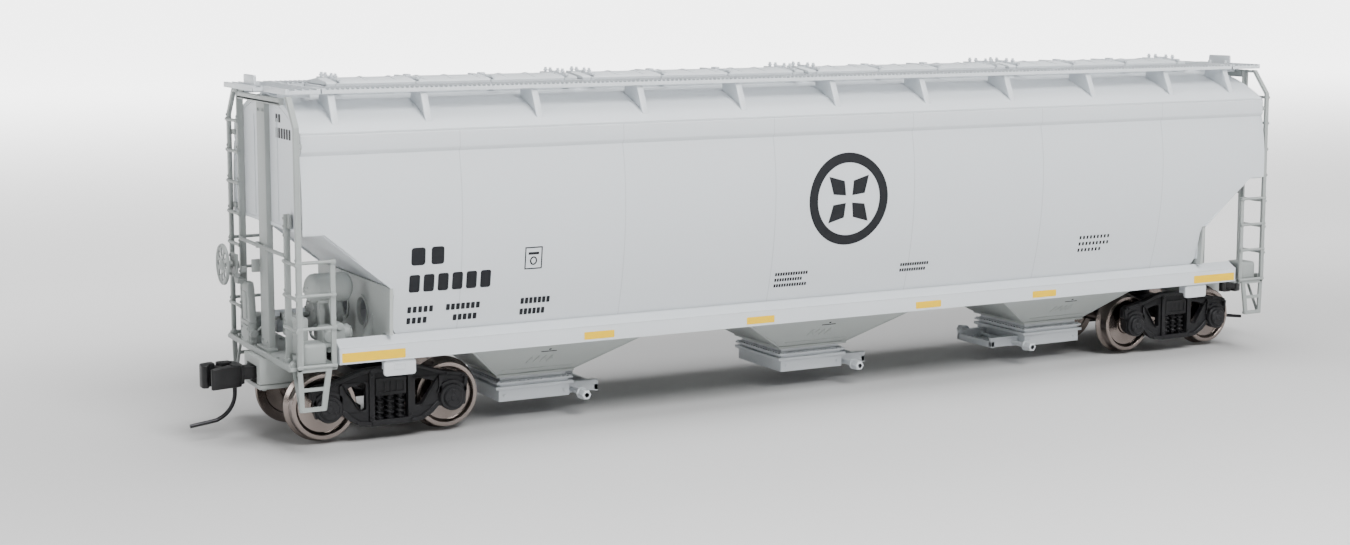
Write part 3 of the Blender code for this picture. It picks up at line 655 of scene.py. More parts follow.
def run_tree(tree, host_mesh, values):
    """The plain mesh that a tree makes on a host, with its inputs set by their identifiers."""
    host = new_object("host", host_mesh)
    change = host.modifiers.new("Nodes", "NODES")
    change.node_group = tree
    for item in tree.interface.items_tree:
        if item.in_out == "INPUT" and item.name in values:
            change[item.identifier] = values[item.name]
    return baked(host)


def points_mesh(places):
    """A host mesh of bare points; each place is a position and, after it, an Euler turn in degrees."""
    mesh = bpy.data.meshes.new("points")
    mesh.from_pydata([place[0] for place in places], [], [])
    turn = mesh.attributes.new("turn", "FLOAT_VECTOR", "POINT")
    for index, (_, angles) in enumerate(places):
        turn.data[index].vector = [math.radians(angle) for angle in angles]
    return mesh


def copies(shape, places, finish):
    """The shape repeated at each place by the copies tree."""
    sample = new_object("sample", shape)
    mesh = run_tree(TREES["copies"], points_mesh(places), {"Shape": sample, "Finish": finish.material})
    bpy.data.objects.remove(sample, do_unlink=True)
    return mesh


def dome(radius, height, segments=8):
    """A rivet head that stands along +Z."""
    return turned([(radius, -height * 0.3), (radius, 0), (radius * 0.72, height * 0.72), (0, height)], segments)


def hex_head(radius, height):
    """A bolt head with its washer, along +Z."""
    washer = turned([(0, -0.05), (radius * 1.35, -0.05), (radius * 1.35, height * 0.25), (0, height * 0.25)], 10)
    head = turned([(0, 0), (radius, 0), (radius, height * 0.85), (radius * 0.8, height), (0, height)], 6)
    return joined(washer, head)


FACING = {"+X": (0, 90, 0), "-X": (0, -90, 0), "+Y": (-90, 0, 0), "-Y": (90, 0, 0), "+Z": (0, 0, 0),
          "-Z": (180, 0, 0)}


def aimed(direction, points):
    """Places for copies that all face one way."""
    return [(point, FACING[direction]) for point in points]


def outward(side):
    """The turn that faces a copy away from the car on one side."""
    return FACING["+Y" if side > 0 else "-Y"]


# ---------------------------------------------------------------- body

def side_y(height):
    """Half width of the curved side sheet at a height."""
    offset = height - SIDE_WIDEST_HEIGHT
    radius = UPPER_SIDE_RADIUS if offset > 0 else LOWER_SIDE_RADIUS
    return SIDE_WIDEST - offset ** 2 / (2 * radius)


def slope_z(x):
    """The slope sheet's height at a distance from the middle."""
    return END_SHEET_BOTTOM - (SLOPE_START - x) * SLOPE


def slope_x(height):
    """The slope sheet's distance from the middle at a height."""
    return SLOPE_START - (END_SHEET_BOTTOM - height) / SLOPE


def side_points(inset=0.0, low=SILL_HEIGHT, high=CHORD_LOW, count=26):
    """Points up the side sheet's section, at an even spacing of height."""
    heights = [low + (high - low) * step / count for step in range(count + 1)]
    return [(side_y(height) - inset, height) for height in heights]


def side_strip(side, low, high, proud, sink, count=26):
    """A section that follows one side sheet, from a little outside it to a little inside."""
    points = side_points(0.0, low, high, count)
    return ([(side * (y + proud), z) for y, z in points]
            + [(side * (y - sink), z) for y, z in reversed(points)])


def roof_arc(radius, width, count):
    """An arc about the roof's centre line, as wide as twice the given width."""
    centre = ROOF_CROWN - ROOF_RADIUS
    edge = math.degrees(math.asin(width / radius))
    return arc((0, centre), radius, 90 - edge, 90 + edge, count)


def make_shell():
    """Side, end and slope sheets with their top chords, cut away under the slopes."""
    low = SILL_HEIGHT - 6.0
    chord = [(CHORD_FACE + 0.02, 45.62), (CHORD_FACE + 0.1, 45.85), (CHORD_FACE, 48.1),
             (CHORD_FACE - 0.14, CHORD_TOP)]
    side = side_points() + chord
    section = side + roof_arc(ROOF_RADIUS - WALL - GAP, 16.17, 20)
    section += [(-y, z) for y, z in reversed(side)]
    outer = plate([section], -BODY_END, BODY_END, "YZ")
    silhouette = both_halves([
        (BODY_END + 1, 60.0), (BODY_END + 1, END_SHEET_BOTTOM), (SLOPE_START, END_SHEET_BOTTOM),
        (SIDE_END_SLOPE + 0.5, slope_z(SIDE_END_SLOPE + 0.5)), (SIDE_END_SLOPE, slope_z(SIDE_END_SLOPE) - 0.15),
        (SIDE_END_LOW + 0.1, 23.4), (SIDE_END_LOW, 22.9), (SIDE_END_LOW, 18.0), (SIDE_END_LOW - 1.2, SILL_HEIGHT),
        (SIDE_END_LOW - 1.2, low)])
    outer = combine(outer, plate([silhouette], -BEYOND, BEYOND, "XZ"), "INTERSECT")
    rise = WALL * math.sqrt(1 + SLOPE ** 2)
    floor = END_SHEET_BOTTOM + WALL
    inside_x = BODY_END - WALL
    hollow = both_halves([(inside_x, 60.0), (inside_x, floor), (slope_x(floor - rise), floor),
                          (slope_x(low - rise), low)])
    foot = [(side_y(SILL_HEIGHT) - WALL, low - 1)]
    inner = foot + side_points(WALL) + [(side_y(CHORD_LOW) - WALL, 61.0)]
    cavity = combine(plate([both_halves(inner)], -100, 100, "YZ"), plate([hollow], -BEYOND, BEYOND, "XZ"),
                     "INTERSECT")
    skin = 0.02
    under = [(66.0, slope_z(66.0) - skin), (83.0, slope_z(83.0) - skin), (83.0, low), (66.0, low)]
    open_inner = foot + side_points(WALL, SILL_HEIGHT, 30.0, 14)
    space = combine(plate([both_halves(open_inner)], 60, 100, "YZ"), plate([under], -BEYOND, BEYOND, "XZ"),
                    "INTERSECT")
    return cut(outer, cavity, space, moved(space, HALF_TURN))


def make_side_seams():
    """Thin vertical weld beads between the side sheets."""
    beads = []
    for x in [way * seam for seam in SEAMS for way in SIDES]:
        for side in SIDES:
            beads.append(plate([side_strip(side, SILL_HEIGHT + 0.2, CHORD_LOW - 0.1, 0.03, 0.2)],
                               x - 0.07, x + 0.07, "YZ"))
    return beads


def make_end_sheet_trim(turn):
    """Corner angles and seam strips of one end sheet, at the B end."""
    face = -BODY_END
    parts = []
    for side in SIDES:
        corner = side_strip(side, END_SHEET_BOTTOM, CHORD_LOW, 0.03, 1.3, 12)
        parts.append(plate([corner], face - 0.16, face + 0.3, "YZ"))
        parts.append(block((face - 0.12, side * 6.0, 34.2), (face + 0.2, side * 6.25, 50.2), 0.05))
    parts.append(block((face - 0.14, -17.2, END_SHEET_BOTTOM), (face + 0.2, 17.2, END_SHEET_BOTTOM + 0.55), 0.06))
    return [moved(part, turn) for part in parts]


def make_slope_trim(turn):
    """The angle along the edge of a slope sheet and the rolled edge of each side sheet, at the B end."""
    parts = []
    lean = math.atan(SLOPE)
    top = Vector((-SLOPE_START, 0, END_SHEET_BOTTOM))
    bottom = Vector((-SIDE_END_SLOPE, 0, slope_z(SIDE_END_SLOPE)))
    run = (bottom - top).length
    for side in SIDES:
        y = side * (side_y(28.0) - 0.42)
        strip = block((0, -0.42, -0.26), (run, 0.42, 0.0), 0.06)
        strip.transform(Matrix.Translation((top.x, y, top.z)) @ Matrix.Rotation(lean, 4, "Y"))
        parts.append(strip)
        parts.append(block((-BODY_END, y - 0.42, END_SHEET_BOTTOM - 0.24),
                           (-SLOPE_START, y + 0.42, END_SHEET_BOTTOM + 0.02), 0.06))
        y = side * (side_y(20.0) - 0.42)
        parts.append(block((-SIDE_END_LOW - 0.22, y - 0.42, 17.9), (-SIDE_END_LOW + 0.02, y + 0.42, 23.0), 0.06))
    return [moved(part, turn) for part in parts]


def make_roof():
    """The curved roof sheet with its hatch coaming, chord lip and running board brackets."""
    outer = roof_arc(ROOF_RADIUS, ROOF_SPAN, 36)
    inner = roof_arc(ROOF_RADIUS - WALL, 16.2, 24)
    section = outer + [(-ROOF_SPAN, 48.4)] + list(reversed(inner)) + [(ROOF_SPAN, 48.4)]
    sheet = plate([section], -BODY_END, BODY_END, "YZ")
    coaming = [block((-88.6, y - 0.35, 53.0), (88.6, y + 0.35, 54.9), 0.08) for y in (-3.95, 3.95)]
    ends = [block((x - 0.35, -4.3, 53.0), (x + 0.35, 4.3, 54.9), 0.08) for x in (-88.25, 88.25)]
    brackets, saddle = [], 54.07
    web = [(15.6, 49.0), (15.7, 49.5), (13.3, saddle), (8.4, saddle), (8.2, 52.0)]
    flange = [(15.55, 48.95), (15.95, 49.05), (13.55, saddle), (13.1, saddle)]
    for x in GUSSETS:
        for side in SIDES:
            brackets.append(plate([on_side(side, web)], x - 0.2, x + 0.2, "YZ"))
            brackets.append(pressed(on_side(side, flange), x - 0.55, x + 0.55, "YZ"))
    lips = [block((-BODY_END, y - 0.16, 48.32), (BODY_END, y + 0.16, 48.62), 0.06) for y in (-17.5, 17.5)]
    return joined(sheet, coaming, ends, brackets, lips)


def make_hatch_cover(number):
    """A trough hatch cover: peaked top with cross ribs and turned-down rim."""
    low, high = span(f"hatch_cover_{number}")
    half, rib_count = 5.0, 9
    outside = [(half, 54.2), (half, 55.2), (half - 0.25, 55.42), (0.35, 55.93)]
    inside = [(half - 0.45, 55.0), (half - 0.35, 54.2)]
    section = (outside + [(0, 55.96)] + [(-y, z) for y, z in reversed(outside)]
               + [(-y, z) for y, z in reversed(inside)] + inside)
    cover = pressed(section, low.x, high.x, "YZ", 0.08)
    pitch = (high.x - low.x) / rib_count
    rib_half = [(half - 0.5, 55.3), (half - 0.5, 55.5)]
    rib = rib_half + [(0, 56.1)] + [(-y, z) for y, z in reversed(rib_half)]
    middles = [low.x + pitch * (step + 0.5) for step in range(rib_count)]
    return joined(cover, [pressed(rib, x - 0.22, x + 0.22, "YZ", 0.06) for x in middles])


def make_hatch_fittings():
    """Latch bars across each cover, their eye bolts and the hinge lugs beside them."""
    post = joined(turned([(0, 0), (0.26, 0), (0.26, 0.95), (0.16, 1.05), (0, 1.05)], 8),
                  turned([(0, 0.45), (0.42, 0.45), (0.42, 0.68), (0, 0.68)], 6))
    lug = block((-0.55, -0.3, -0.4), (0.55, 0.35, 0.75), 0.1)
    posts, lugs, bars = [], [], []
    for number in range(1, 5):
        low, high = span(f"hatch_cover_{number}")
        for share in (0.045, 0.35, 0.65, 0.955):
            x = low.x + (high.x - low.x) * share
            bars.append(block((x - 0.3, -5.2, 55.55), (x + 0.3, 5.2, 55.95), 0.08))
            bars.append(block((x - 0.45, -0.8, 55.7), (x + 0.45, 0.8, 56.25), 0.12))
            if share in (0.045, 0.955):
                posts += aimed("+Z", [(x, y, 55.7) for y in (-3.4, -1.5, 1.5, 3.4)])
            for y in (-5.25, 5.25):
                lugs.append(((x, y, 54.5), (0, 0, 0 if y > 0 else 180)))
    return joined(bars, copies(post, posts, TRIM_PAINT), copies(lug, lugs, TRIM_PAINT))


def grating(low, high, bottom, top, long_pitch, cross_pitch):
    """An open grating panel with a plain rim; the bars end inside the rim's end bars."""
    length, width, height = high[0] - low[0], high[1] - low[1], top - bottom
    edge, rim = bottom + height * 0.62, 0.32
    panel = run_tree(TREES["grating"], bpy.data.meshes.new("host"), {
        "Length": length - 0.9, "Width": width - 0.04, "Long Pitch": long_pitch, "Cross Pitch": cross_pitch,
        "Bar Width": 0.24, "Bar Height": height * 0.9, "Finish": PLAIN_PAINT.material})
    middle = Matrix.Translation(((low[0] + high[0]) / 2, (low[1] + high[1]) / 2, (bottom + top) / 2))
    sides = [block((low[0], low[1] - 0.02, bottom), (high[0], low[1] + rim, edge), 0.06),
             block((low[0], high[1] - rim, bottom), (high[0], high[1] + 0.02, edge), 0.06),
             block((low[0], low[1], bottom), (low[0] + rim, high[1], top), 0.06),
             block((high[0] - rim, low[1], bottom), (high[0], high[1], top), 0.06)]
    return [moved(panel, middle), sides]


def make_running_board(node_name):
    """A long grated walk on saddles."""
    low, high = span(node_name)
    saddles = [block((x - 0.5, low.y + 0.1, low.z - 0.02), (x + 0.5, high.y - 0.1, low.z + 0.3), 0.05)
               for x in GUSSETS]
    return joined(grating(low, high, low.z, high.z, 1.15, 0.8), saddles)


def make_end_walkway():
    """The B end's cross walk, wide at the tall ladder and cut back at the short one, with its stop plate."""
    bottom, top = BOARD_LOW.z, BOARD_HIGH.z
    inner_end = -91.85
    wide = grating((-98.9, -2.4), (inner_end, 14.0), bottom, top, 0.95, 1.05)
    narrow = grating((-97.3, -14.0), (inner_end, -2.5), bottom, top, 0.95, 1.05)
    stop = pressed(rounded_rectangle(1.7, 7.4, 54.6, 56.5, 0.35), -97.5, -97.1, "YZ", 0.08)
    braces = [block((-97.2, y - 0.2, 54.6), (-96.4, y + 0.2, 55.5), 0.05) for y in (2.4, 6.7)]
    hangers = [block((-97.0, y - 0.3, 53.4), (-92.0, y + 0.3, bottom + 0.02), 0.06) for y in (-9.0, 0.0, 9.0)]
    return joined(wide, narrow, stop, braces, hangers)


def make_side_sill(side):
    """The side sill with its sloping top flange, end stiffeners, placard holders and jacking pads."""
    section = [(14.5, 13.1), (17.4, 13.1), (17.5, 13.2), (17.5, 15.5), (17.42, 15.7), (15.62, 16.72),
               (15.5, 16.7), (15.3, 15.98), (14.5, 15.98)]
    parts = [pressed(on_side(side, section), -SILL_END, SILL_END, "YZ", 0.06, 1, 50)]
    for y, z in ((17.44, 15.62), (17.42, 13.18), (15.6, 16.7)):
        parts.append(tube([(-SILL_END, side * y, z), (SILL_END, side * y, z)], 0.11, 2, False))
    for x in (-PAD_X, PAD_X):
        pad = rounded_rectangle(x - 2.6, x + 2.6, 10.6, 13.0, 0.45)
        parts.append(pressed(pad, side * 16.7, side * 17.2, "XZ", 0.1))
        rim = [rounded_rectangle(x - 1.0, x + 1.0, 11.5, 12.5, 0.15),
               rounded_rectangle(x - 0.85, x + 0.85, 11.65, 12.35, 0.1)]
        parts.append(plate(rim, side * 17.1, side * 17.28, "XZ"))
        for edge in (x - 2.0, x + 2.0):
            parts.append(block((edge - 0.2, side * 15.0, 11.4), (edge + 0.2, side * 16.8, 13.2), 0.05))
    for x in (-SILL_END + 0.25, SILL_END - 0.25):
        parts.append(block((x - 0.22, side * 14.4, 13.12), (x + 0.22, side * 17.52, 15.62), 0.06))
    return joined(parts)


# ---------------------------------------------------------------- ends, drawn at the B end

PLATFORM_TOP = 13.2
STAND = PLATFORM_TOP + GAP  # the foot of whatever stands on a platform
POST_FOOT = 13.3
LADDER_FRONT, LADDER_BACK = -97.45, -96.95
LADDER_POSTS = (12.1, 17.78)
INNER_POST_TOP = {True: 53.9, False: 36.0}
RUNG_RADIUS = 0.27
TALL_RUNGS = (48.7, 43.7, 38.6, 33.6, 28.5, 23.5, 18.4)
SHORT_RUNGS = (28.85, 23.7, 18.8)
SIDE_RUNGS = (29.15, 24.1, 19.1, 13.3)


def make_end_platform():
    """The floor plate with its turned-up edge, corner boxes and end sill."""
    bottom, top = PLATFORM_BOTTOM, PLATFORM_TOP
    parts = [block((-98.4, -17.1, bottom), (-91.0, 17.1, top), 0.12),
             block((-98.4, -16.6, top - 0.1), (-98.05, 16.6, top + 0.28), 0.1),
             block((-97.2, -12.6, bottom - 0.9), (-96.6, 12.6, bottom + 0.1), 0.08)]
    for side in SIDES:
        parts += [block((-96.3, side * 12.9, 12.9), (-92.6, side * 17.2, 16.6), 0.75, 4),
                  rod(0.62, side * 15.7, side * 16.6, (-97.6, 13.45), "Y", 16, 0.2),
                  block((-97.9, side * 11.9, 13.15), (-97.0, side * 12.9, 13.9), 0.1)]
    bolts = aimed("+Z", [(x, side * y, top) for x in (-97.6, -92.2) for y in (4.0, 8.0, 11.4) for side in SIDES])
    return joined(parts, copies(hex_head(0.24, 0.22), bolts, TRIM_PAINT))


def make_end_ladder(tall, side):
    """The ladder across the end at a corner, with round rungs in front of flat posts."""
    front, back, foot, top = LADDER_FRONT, LADDER_BACK, POST_FOOT, INNER_POST_TOP[tall]
    outer = [(18.2, foot), (18.2, 49.5), (14.75, 53.9), (13.75, 53.9), (17.35, 49.3), (17.35, foot)]
    flange = [(18.2, foot), (18.2, 49.55), (14.72, 53.95), (14.4, 53.8), (17.95, 49.4), (17.95, foot)]
    parts = [pressed(on_side(side, outer), front, back, "YZ"),
             plate([on_side(side, flange)], back - 0.02, back + 0.3, "YZ"),
             block((front, side * 11.75, foot), (back, side * 12.45, top), 0.07),
             block((back - 0.02, side * 11.75, foot), (back + 0.55, side * 12.0, top), 0.05)]
    rungs = TALL_RUNGS if tall else SHORT_RUNGS
    for z in rungs:
        parts.append(rod(RUNG_RADIUS, side * 11.6, side * 18.25, (front - 0.02, z), "Y", 10, 0.06))
        for y in LADDER_POSTS:
            y *= side
            parts.append(block((front - 0.2, y - 0.32, z - 0.32), (front + 0.1, y + 0.32, z + 0.32), 0.08))
    bolts = aimed("-X", [(front, side * y, z + 0.75) for y in LADDER_POSTS for z in rungs])
    if tall:
        parts += [block((front, side * 12.2, 53.35), (back, side * 14.2, 53.85), 0.06),
                  block((-97.2, side * 9.0, 53.2), (-96.9, side * 12.0, 53.9), 0.05)]
    else:
        bolts += aimed("-X", [(front, side * LADDER_POSTS[0], z) for z in (35.4, 34.2, 32.8)])
        head = rounded_rectangle(side * 11.6, side * 13.4, 33.9, 36.0, 0.2)
        parts.append(pressed(head, back - 0.05, back + 0.35, "YZ", 0.05))
    for z in (34.6, 46.6):
        parts.append(block((back + 0.1, side * 15.9, z - 0.4), (back + 0.75, side * 18.0, z + 0.4), 0.08))
    return joined(parts, copies(hex_head(0.2, 0.18), bolts, TRIM_PAINT))


def make_side_ladder(side):
    """The ladder and stirrup step along the side at a corner, with flat posts and round rungs."""
    low, high, face = side * 17.5, side * 17.95, side * 18.0
    parts = [pressed(rectangle(left, right, 12.6, top), low, high, "XZ")
             for left, right, top in ((-97.5, -96.75, 29.6), (-92.15, -91.35, 29.5))]
    stirrup = [(-97.5, 13.4), (-97.5, 12.8), (-97.3, 6.4), (-93.1, 6.4), (-92.15, 12.6), (-91.35, 12.8),
               (-91.35, 13.4)]
    windows = [[(-96.75, 12.45), (-96.6, 10.05), (-93.45, 10.05), (-93.05, 12.45)],
               [(-96.6, 9.5), (-96.55, 7.05), (-93.85, 7.05), (-93.55, 9.5)]]
    parts.append(softened(plate([stirrup, *windows], low, high, "XZ"), 0.07))
    parts.append(block((-97.0, side * 17.0, 6.4), (-93.3, side * 18.1, 6.85), 0.08))
    for z in SIDE_RUNGS:
        parts.append(rod(RUNG_RADIUS, -97.6, -91.3, (face, z), "X", 10, 0.06))
        for x in (-97.12, -91.75):
            parts.append(block((x - 0.36, face - 0.24, z - 0.32), (x + 0.36, face + 0.2, z + 0.32), 0.08))
    brace = block((-0.22, -0.16, 0), (0.22, 0.16, 7.6), 0.05)
    place = Matrix.Translation((-97.0, side * 17.3, 6.6))
    return joined(parts, moved(brace, place @ Matrix.Rotation(side * math.radians(28), 4, "X")))


def make_centre_post():
    """The centre post, a channel, with its top cross member and the grab bar across the end."""
    top, bar_z = 53.0, 29.7
    post = block((-97.1, -2.1, POST_FOOT), (-96.75, 2.1, top), 0.07)
    edges = [block((-97.1, y - 0.22, POST_FOOT), (-96.1, y + 0.22, top), 0.06) for y in (-1.9, 1.9)]
    beam = block((-97.5, -11.3, 52.5), (-96.7, 11.3, 53.5), 0.1)
    lip = block((-97.5, -11.3, 52.4), (-97.25, 11.3, 52.9), 0.06)
    half = [(-97.0, -12.0, bar_z), (-97.45, -11.2, bar_z), (-97.5, -6.0, bar_z)]
    bar = tube(half + [(x, -y, z) for x, y, z in reversed(half)], 0.31)
    pads = [block((-97.6, y - 0.5, bar_z - 0.5), (-97.0, y + 0.5, bar_z + 0.5), 0.1) for y in (-2.2, 2.2)]
    foot = block((-97.7, -2.8, 13.25), (-95.9, 2.8, 13.75), 0.1)
    bolts = aimed("-X", [(-97.1, y, z) for y in (-1.2, 1.2) for z in (14.6, 51.2)])
    return joined(post, edges, beam, lip, bar, pads, foot, copies(hex_head(0.24, 0.2), bolts, TRIM_PAINT))


def make_stub_sill():
    """The draft box, stub centre sill and body bolster with its pierced web."""
    box = cut(block((-99.4, -4.15, 8.4), (-91.6, 4.15, 12.5), 0.15), block((-101, -2.7, 7.5), (-92.4, 2.7, 11.2)))
    outline = both_halves([(14.2, 12.7), (14.2, 16.9), (17.1, 16.9), (17.45, 22.0), (17.5, 24.25)])
    holes = [(way * 4.6, 18.9) for way in SIDES]
    parts = [box, rod(0.9, 8.5, 11.6, (-COUPLER_X, 0), "Z", 20),
             block((-92.0, -3.1, 10.6), (-72.0, 3.1, 12.5), 0.1),
             block((-90.8, -3.1, 12.2), (-81.0, 3.1, 14.2), 0.12),
             block((-83.0, -14.3, 11.5), (-78.6, 14.3, 13.0), 0.12),
             rod(3.4, 10.5, 12.0, (-TRUCK_X, 0), "Z", 32, 0.1),
             plate([outline, *[oval(hole, 2.4, 2.3) for hole in holes]], -82.6, -82.05, "YZ")]
    parts += [plate([oval(hole, 2.8, 2.7, 32), oval(hole, 2.35, 2.25, 32)], -82.75, -82.5, "YZ") for hole in holes]
    rib = [(-82.5, 13.0), (-85.6, 13.0), (-82.5, 19.5)]
    parts += [plate([rib], y - 0.25, y + 0.25, "XZ") for y in (-9.4, 9.4)]
    sheet = cut(joined(parts), rod(1.3, 9.5, 12.9, (-TRUCK_X, 0), "Z", 24))
    rivets = [((x, side * 3.1, 13.6), outward(side)) for x in range(-90, -82, 2) for side in SIDES]
    return joined(sheet, copies(dome(0.22, 0.16), rivets, PAINTED_SHADE_GREY))


def make_draft_box_lid():
    """The bolted plate under a draft box."""
    lid = block((-99.4, -4.15, 7.6), (-91.6, 4.15, 8.3), 0.14)
    bolts = aimed("-Z", [(x, y, 7.62) for x in (-98.4, -92.6) for y in (-3.3, 3.3)])
    return joined(lid, copies(hex_head(0.35, 0.3), bolts, TRIM_PAINT))


# ---------------------------------------------------------------- hopper bays and gates

GATE_HALF = 7.0
SHAFT_REACH = 7.7  # from a bay's middle to its gate's capstan shaft
SHAFT_HEIGHT = 2.95
BAY_HALF_WIDTH = 14.2
BAY_SHOULDER = 12.9
CHUTE_HALF_X = 6.4
CHUTE_HALF_Y = 7.3
RIDGE_HEIGHT = 18.5
BAY_FLARE = (BAY_HALF_WIDTH - CHUTE_HALF_Y) / (BAY_SHOULDER - CHUTE_BOTTOM)


def bay_wall(y_side, x, z, lift=0.0):
    """A point on a bay's sloping side sheet, lifted off it along its normal."""
    lean = math.atan(BAY_FLARE)
    y = CHUTE_HALF_Y + BAY_FLARE * (z - CHUTE_BOTTOM) + lift * math.cos(lean)
    return (x, y_side * y, z - lift * math.sin(lean))


def make_bay(middle, left_reach, right_reach):
    """A funnel between two slope sheets with sloping side sheets, a flanged foot and rivets."""
    silhouettes = []
    for inset, beyond in ((0.0, 0.0), (WALL, 1.0)):
        corners = []
        for way, (reach, top) in ((-1, left_reach), (1, right_reach)):
            run = (reach - CHUTE_HALF_X) / (top - CHUTE_BOTTOM)
            corners.append(((middle + way * (CHUTE_HALF_X - inset - run * beyond), CHUTE_BOTTOM - beyond),
                            (middle + way * (reach - inset + run * beyond), top + beyond)))
        (left_low, left_high), (right_low, right_high) = corners
        silhouettes.append([left_low, right_low, right_high, left_high])
    sections = []
    for inset, bottom, top in ((0.0, CHUTE_BOTTOM - 2, 30.0), (WALL, CHUTE_BOTTOM - 3, 31.0)):
        low = CHUTE_HALF_Y - inset + BAY_FLARE * (bottom - CHUTE_BOTTOM)
        wide = BAY_HALF_WIDTH - inset
        sections.append(both_halves([(low, bottom), (wide, BAY_SHOULDER), (wide, top)]))
    shapes = [combine(plate([outline], -BEYOND, BEYOND, "XZ"), plate([section], -100, 100, "YZ"), "INTERSECT")
              for outline, section in zip(silhouettes, sections)]
    rim = CHUTE_BOTTOM + 0.42
    lip = cut(block((middle - 7.0, -8.0, CHUTE_BOTTOM), (middle + 7.0, 8.0, rim), 0.08),
              block((middle - 5.6, -6.6, CHUTE_BOTTOM - 1), (middle + 5.6, 6.6, rim + 1)))
    parts = [cut(*shapes), lip]
    rise = BAY_SHOULDER - CHUTE_BOTTOM
    for side in SIDES:
        for way, (reach, top) in ((-1, left_reach), (1, right_reach)):
            shoulder = CHUTE_HALF_X + (reach - CHUTE_HALF_X) * rise / (top - CHUTE_BOTTOM)
            ends = [bay_wall(side, middle + way * (CHUTE_HALF_X + 0.35), CHUTE_BOTTOM + 0.3),
                    bay_wall(side, middle + way * shoulder, BAY_SHOULDER)]
            parts.append(tube(ends, 0.16, 2, False))
        seam = [bay_wall(side, middle + way * CHUTE_HALF_X, CHUTE_BOTTOM + 1.3, 0.03) for way in SIDES]
        parts.append(tube(seam, 0.07, 2, False))
        parts += make_bay_marks(side, middle)
    rivets = []
    for step in range(-8, 9):
        for side in SIDES:
            rivets += [(middle + step * 0.82, side * 7.7, rim), (middle + side * 6.72, step * 0.92, rim)]
    return joined(parts, copies(dome(0.19, 0.15, 6), aimed("+Z", rivets), PAINTED_SHADE_GREY))


def make_bay_marks(side, middle):
    """Faint raised casting marks on a bay's side sheet: a row of short slanted strokes."""
    marks = []
    for x in (-2.6, -1.4, -0.2, 1.0):
        for start, end, width in (((x, 9.1), (x + 0.6, 10.3), 0.15), ((x + 0.6, 10.3), (x + 0.95, 9.5), 0.1)):
            marks.append(tube([bay_wall(side, middle + along, z) for along, z in (start, end)], width, 1, False))
    return marks


def make_outlet_gate(number, direction):
    """The gate frame under a chute: bolted flange, ribbed pan, slide rack with its guides and capstan shaft."""
    low, high = span(f"outlet_gate_{number}")
    middle = low.x + GATE_HALF if direction > 0 else high.x - GATE_HALF

    def along(distance):
        """A place ahead of the bay's middle, the way that the slide opens."""
        return middle + direction * distance

    shaft = (along(SHAFT_REACH), SHAFT_HEIGHT)
    parts = [block((middle - half_x, -half_y, bottom), (middle + half_x, half_y, top), bevel)
             for half_x, half_y, bottom, top, bevel in (
                 (GATE_HALF, 7.8, 4.45, 4.95, 0.1), (6.9, 7.75, 5.35, 5.7, 0.08),
                 (6.0, 6.9, 4.6, CHUTE_BOTTOM - GAP, 0.06), (6.4, 7.45, 2.4, 4.5, 0.14),
                 (6.2, 7.3, 4.4, 5.9, 0.1))]
    for y in (-5.0, 5.0):
        parts += [block((along(5.0), y - 0.4, 2.3), (along(GATE_REACH), y + 0.4, 4.0), 0.1),
                  block((along(5.0), y - 0.55, 3.9), (along(GATE_REACH), y + 0.55, 4.12), 0.05),
                  block((shaft[0] - 0.9, y - 0.5, 2.25), (shaft[0] + 0.9, y + 0.5, 3.8), 0.15)]
    parts += [block((along(11.9), -5.4, 2.2), (along(GATE_REACH), 5.4, 3.4), 0.1),
              block((along(5.5), -4.6, 2.3), (along(9.4), 4.6, 2.7), 0.05),
              rod(0.45, -11.5, 11.5, shaft, "Y", 16, 0.05)]
    for side in SIDES:
        for radius, start, end, flats, chamfer in (
                (0.95, 9.3, 9.7, 20, 0.08), (0.85, 9.7, 11.45, 6, 0.1), (0.5, 11.3, 11.5, 12, 0.05),
                (0.75, 3.6, 4.4, 12, 0.05)):
            parts.append(rod(radius, side * start, side * end, shaft, "Y", flats, chamfer))
    tooth = block((-0.16, -0.4, 0), (0.16, 0.4, 0.3), 0.03)
    teeth = aimed("+Z", [(along(5.8 + step * 0.62), side * 4.0, 2.7) for step in range(10) for side in SIDES])
    rivets = [(middle + step * 0.8, side * 7.55, 5.7) for step in range(-8, 9) for side in SIDES]
    rivets += [(middle + side * 6.7, step * 0.85, 5.7) for step in range(-8, 9) for side in SIDES]
    bolts = [((middle + x, side * 7.45, 3.4), outward(side)) for x in (-5.4, 5.4) for side in SIDES]
    fittings = ((tooth, teeth), (hex_head(0.26, 0.24), bolts), (dome(0.2, 0.2, 6), aimed("+Z", rivets)))
    return joined(parts, [copies(shape, places, PLAIN_PAINT) for shape, places in fittings])


# ---------------------------------------------------------------- trucks, about their own centre

AXLE_SHIFT = 10.2  # from a truck's middle to its axles
SPRING_SEAT = 2.7


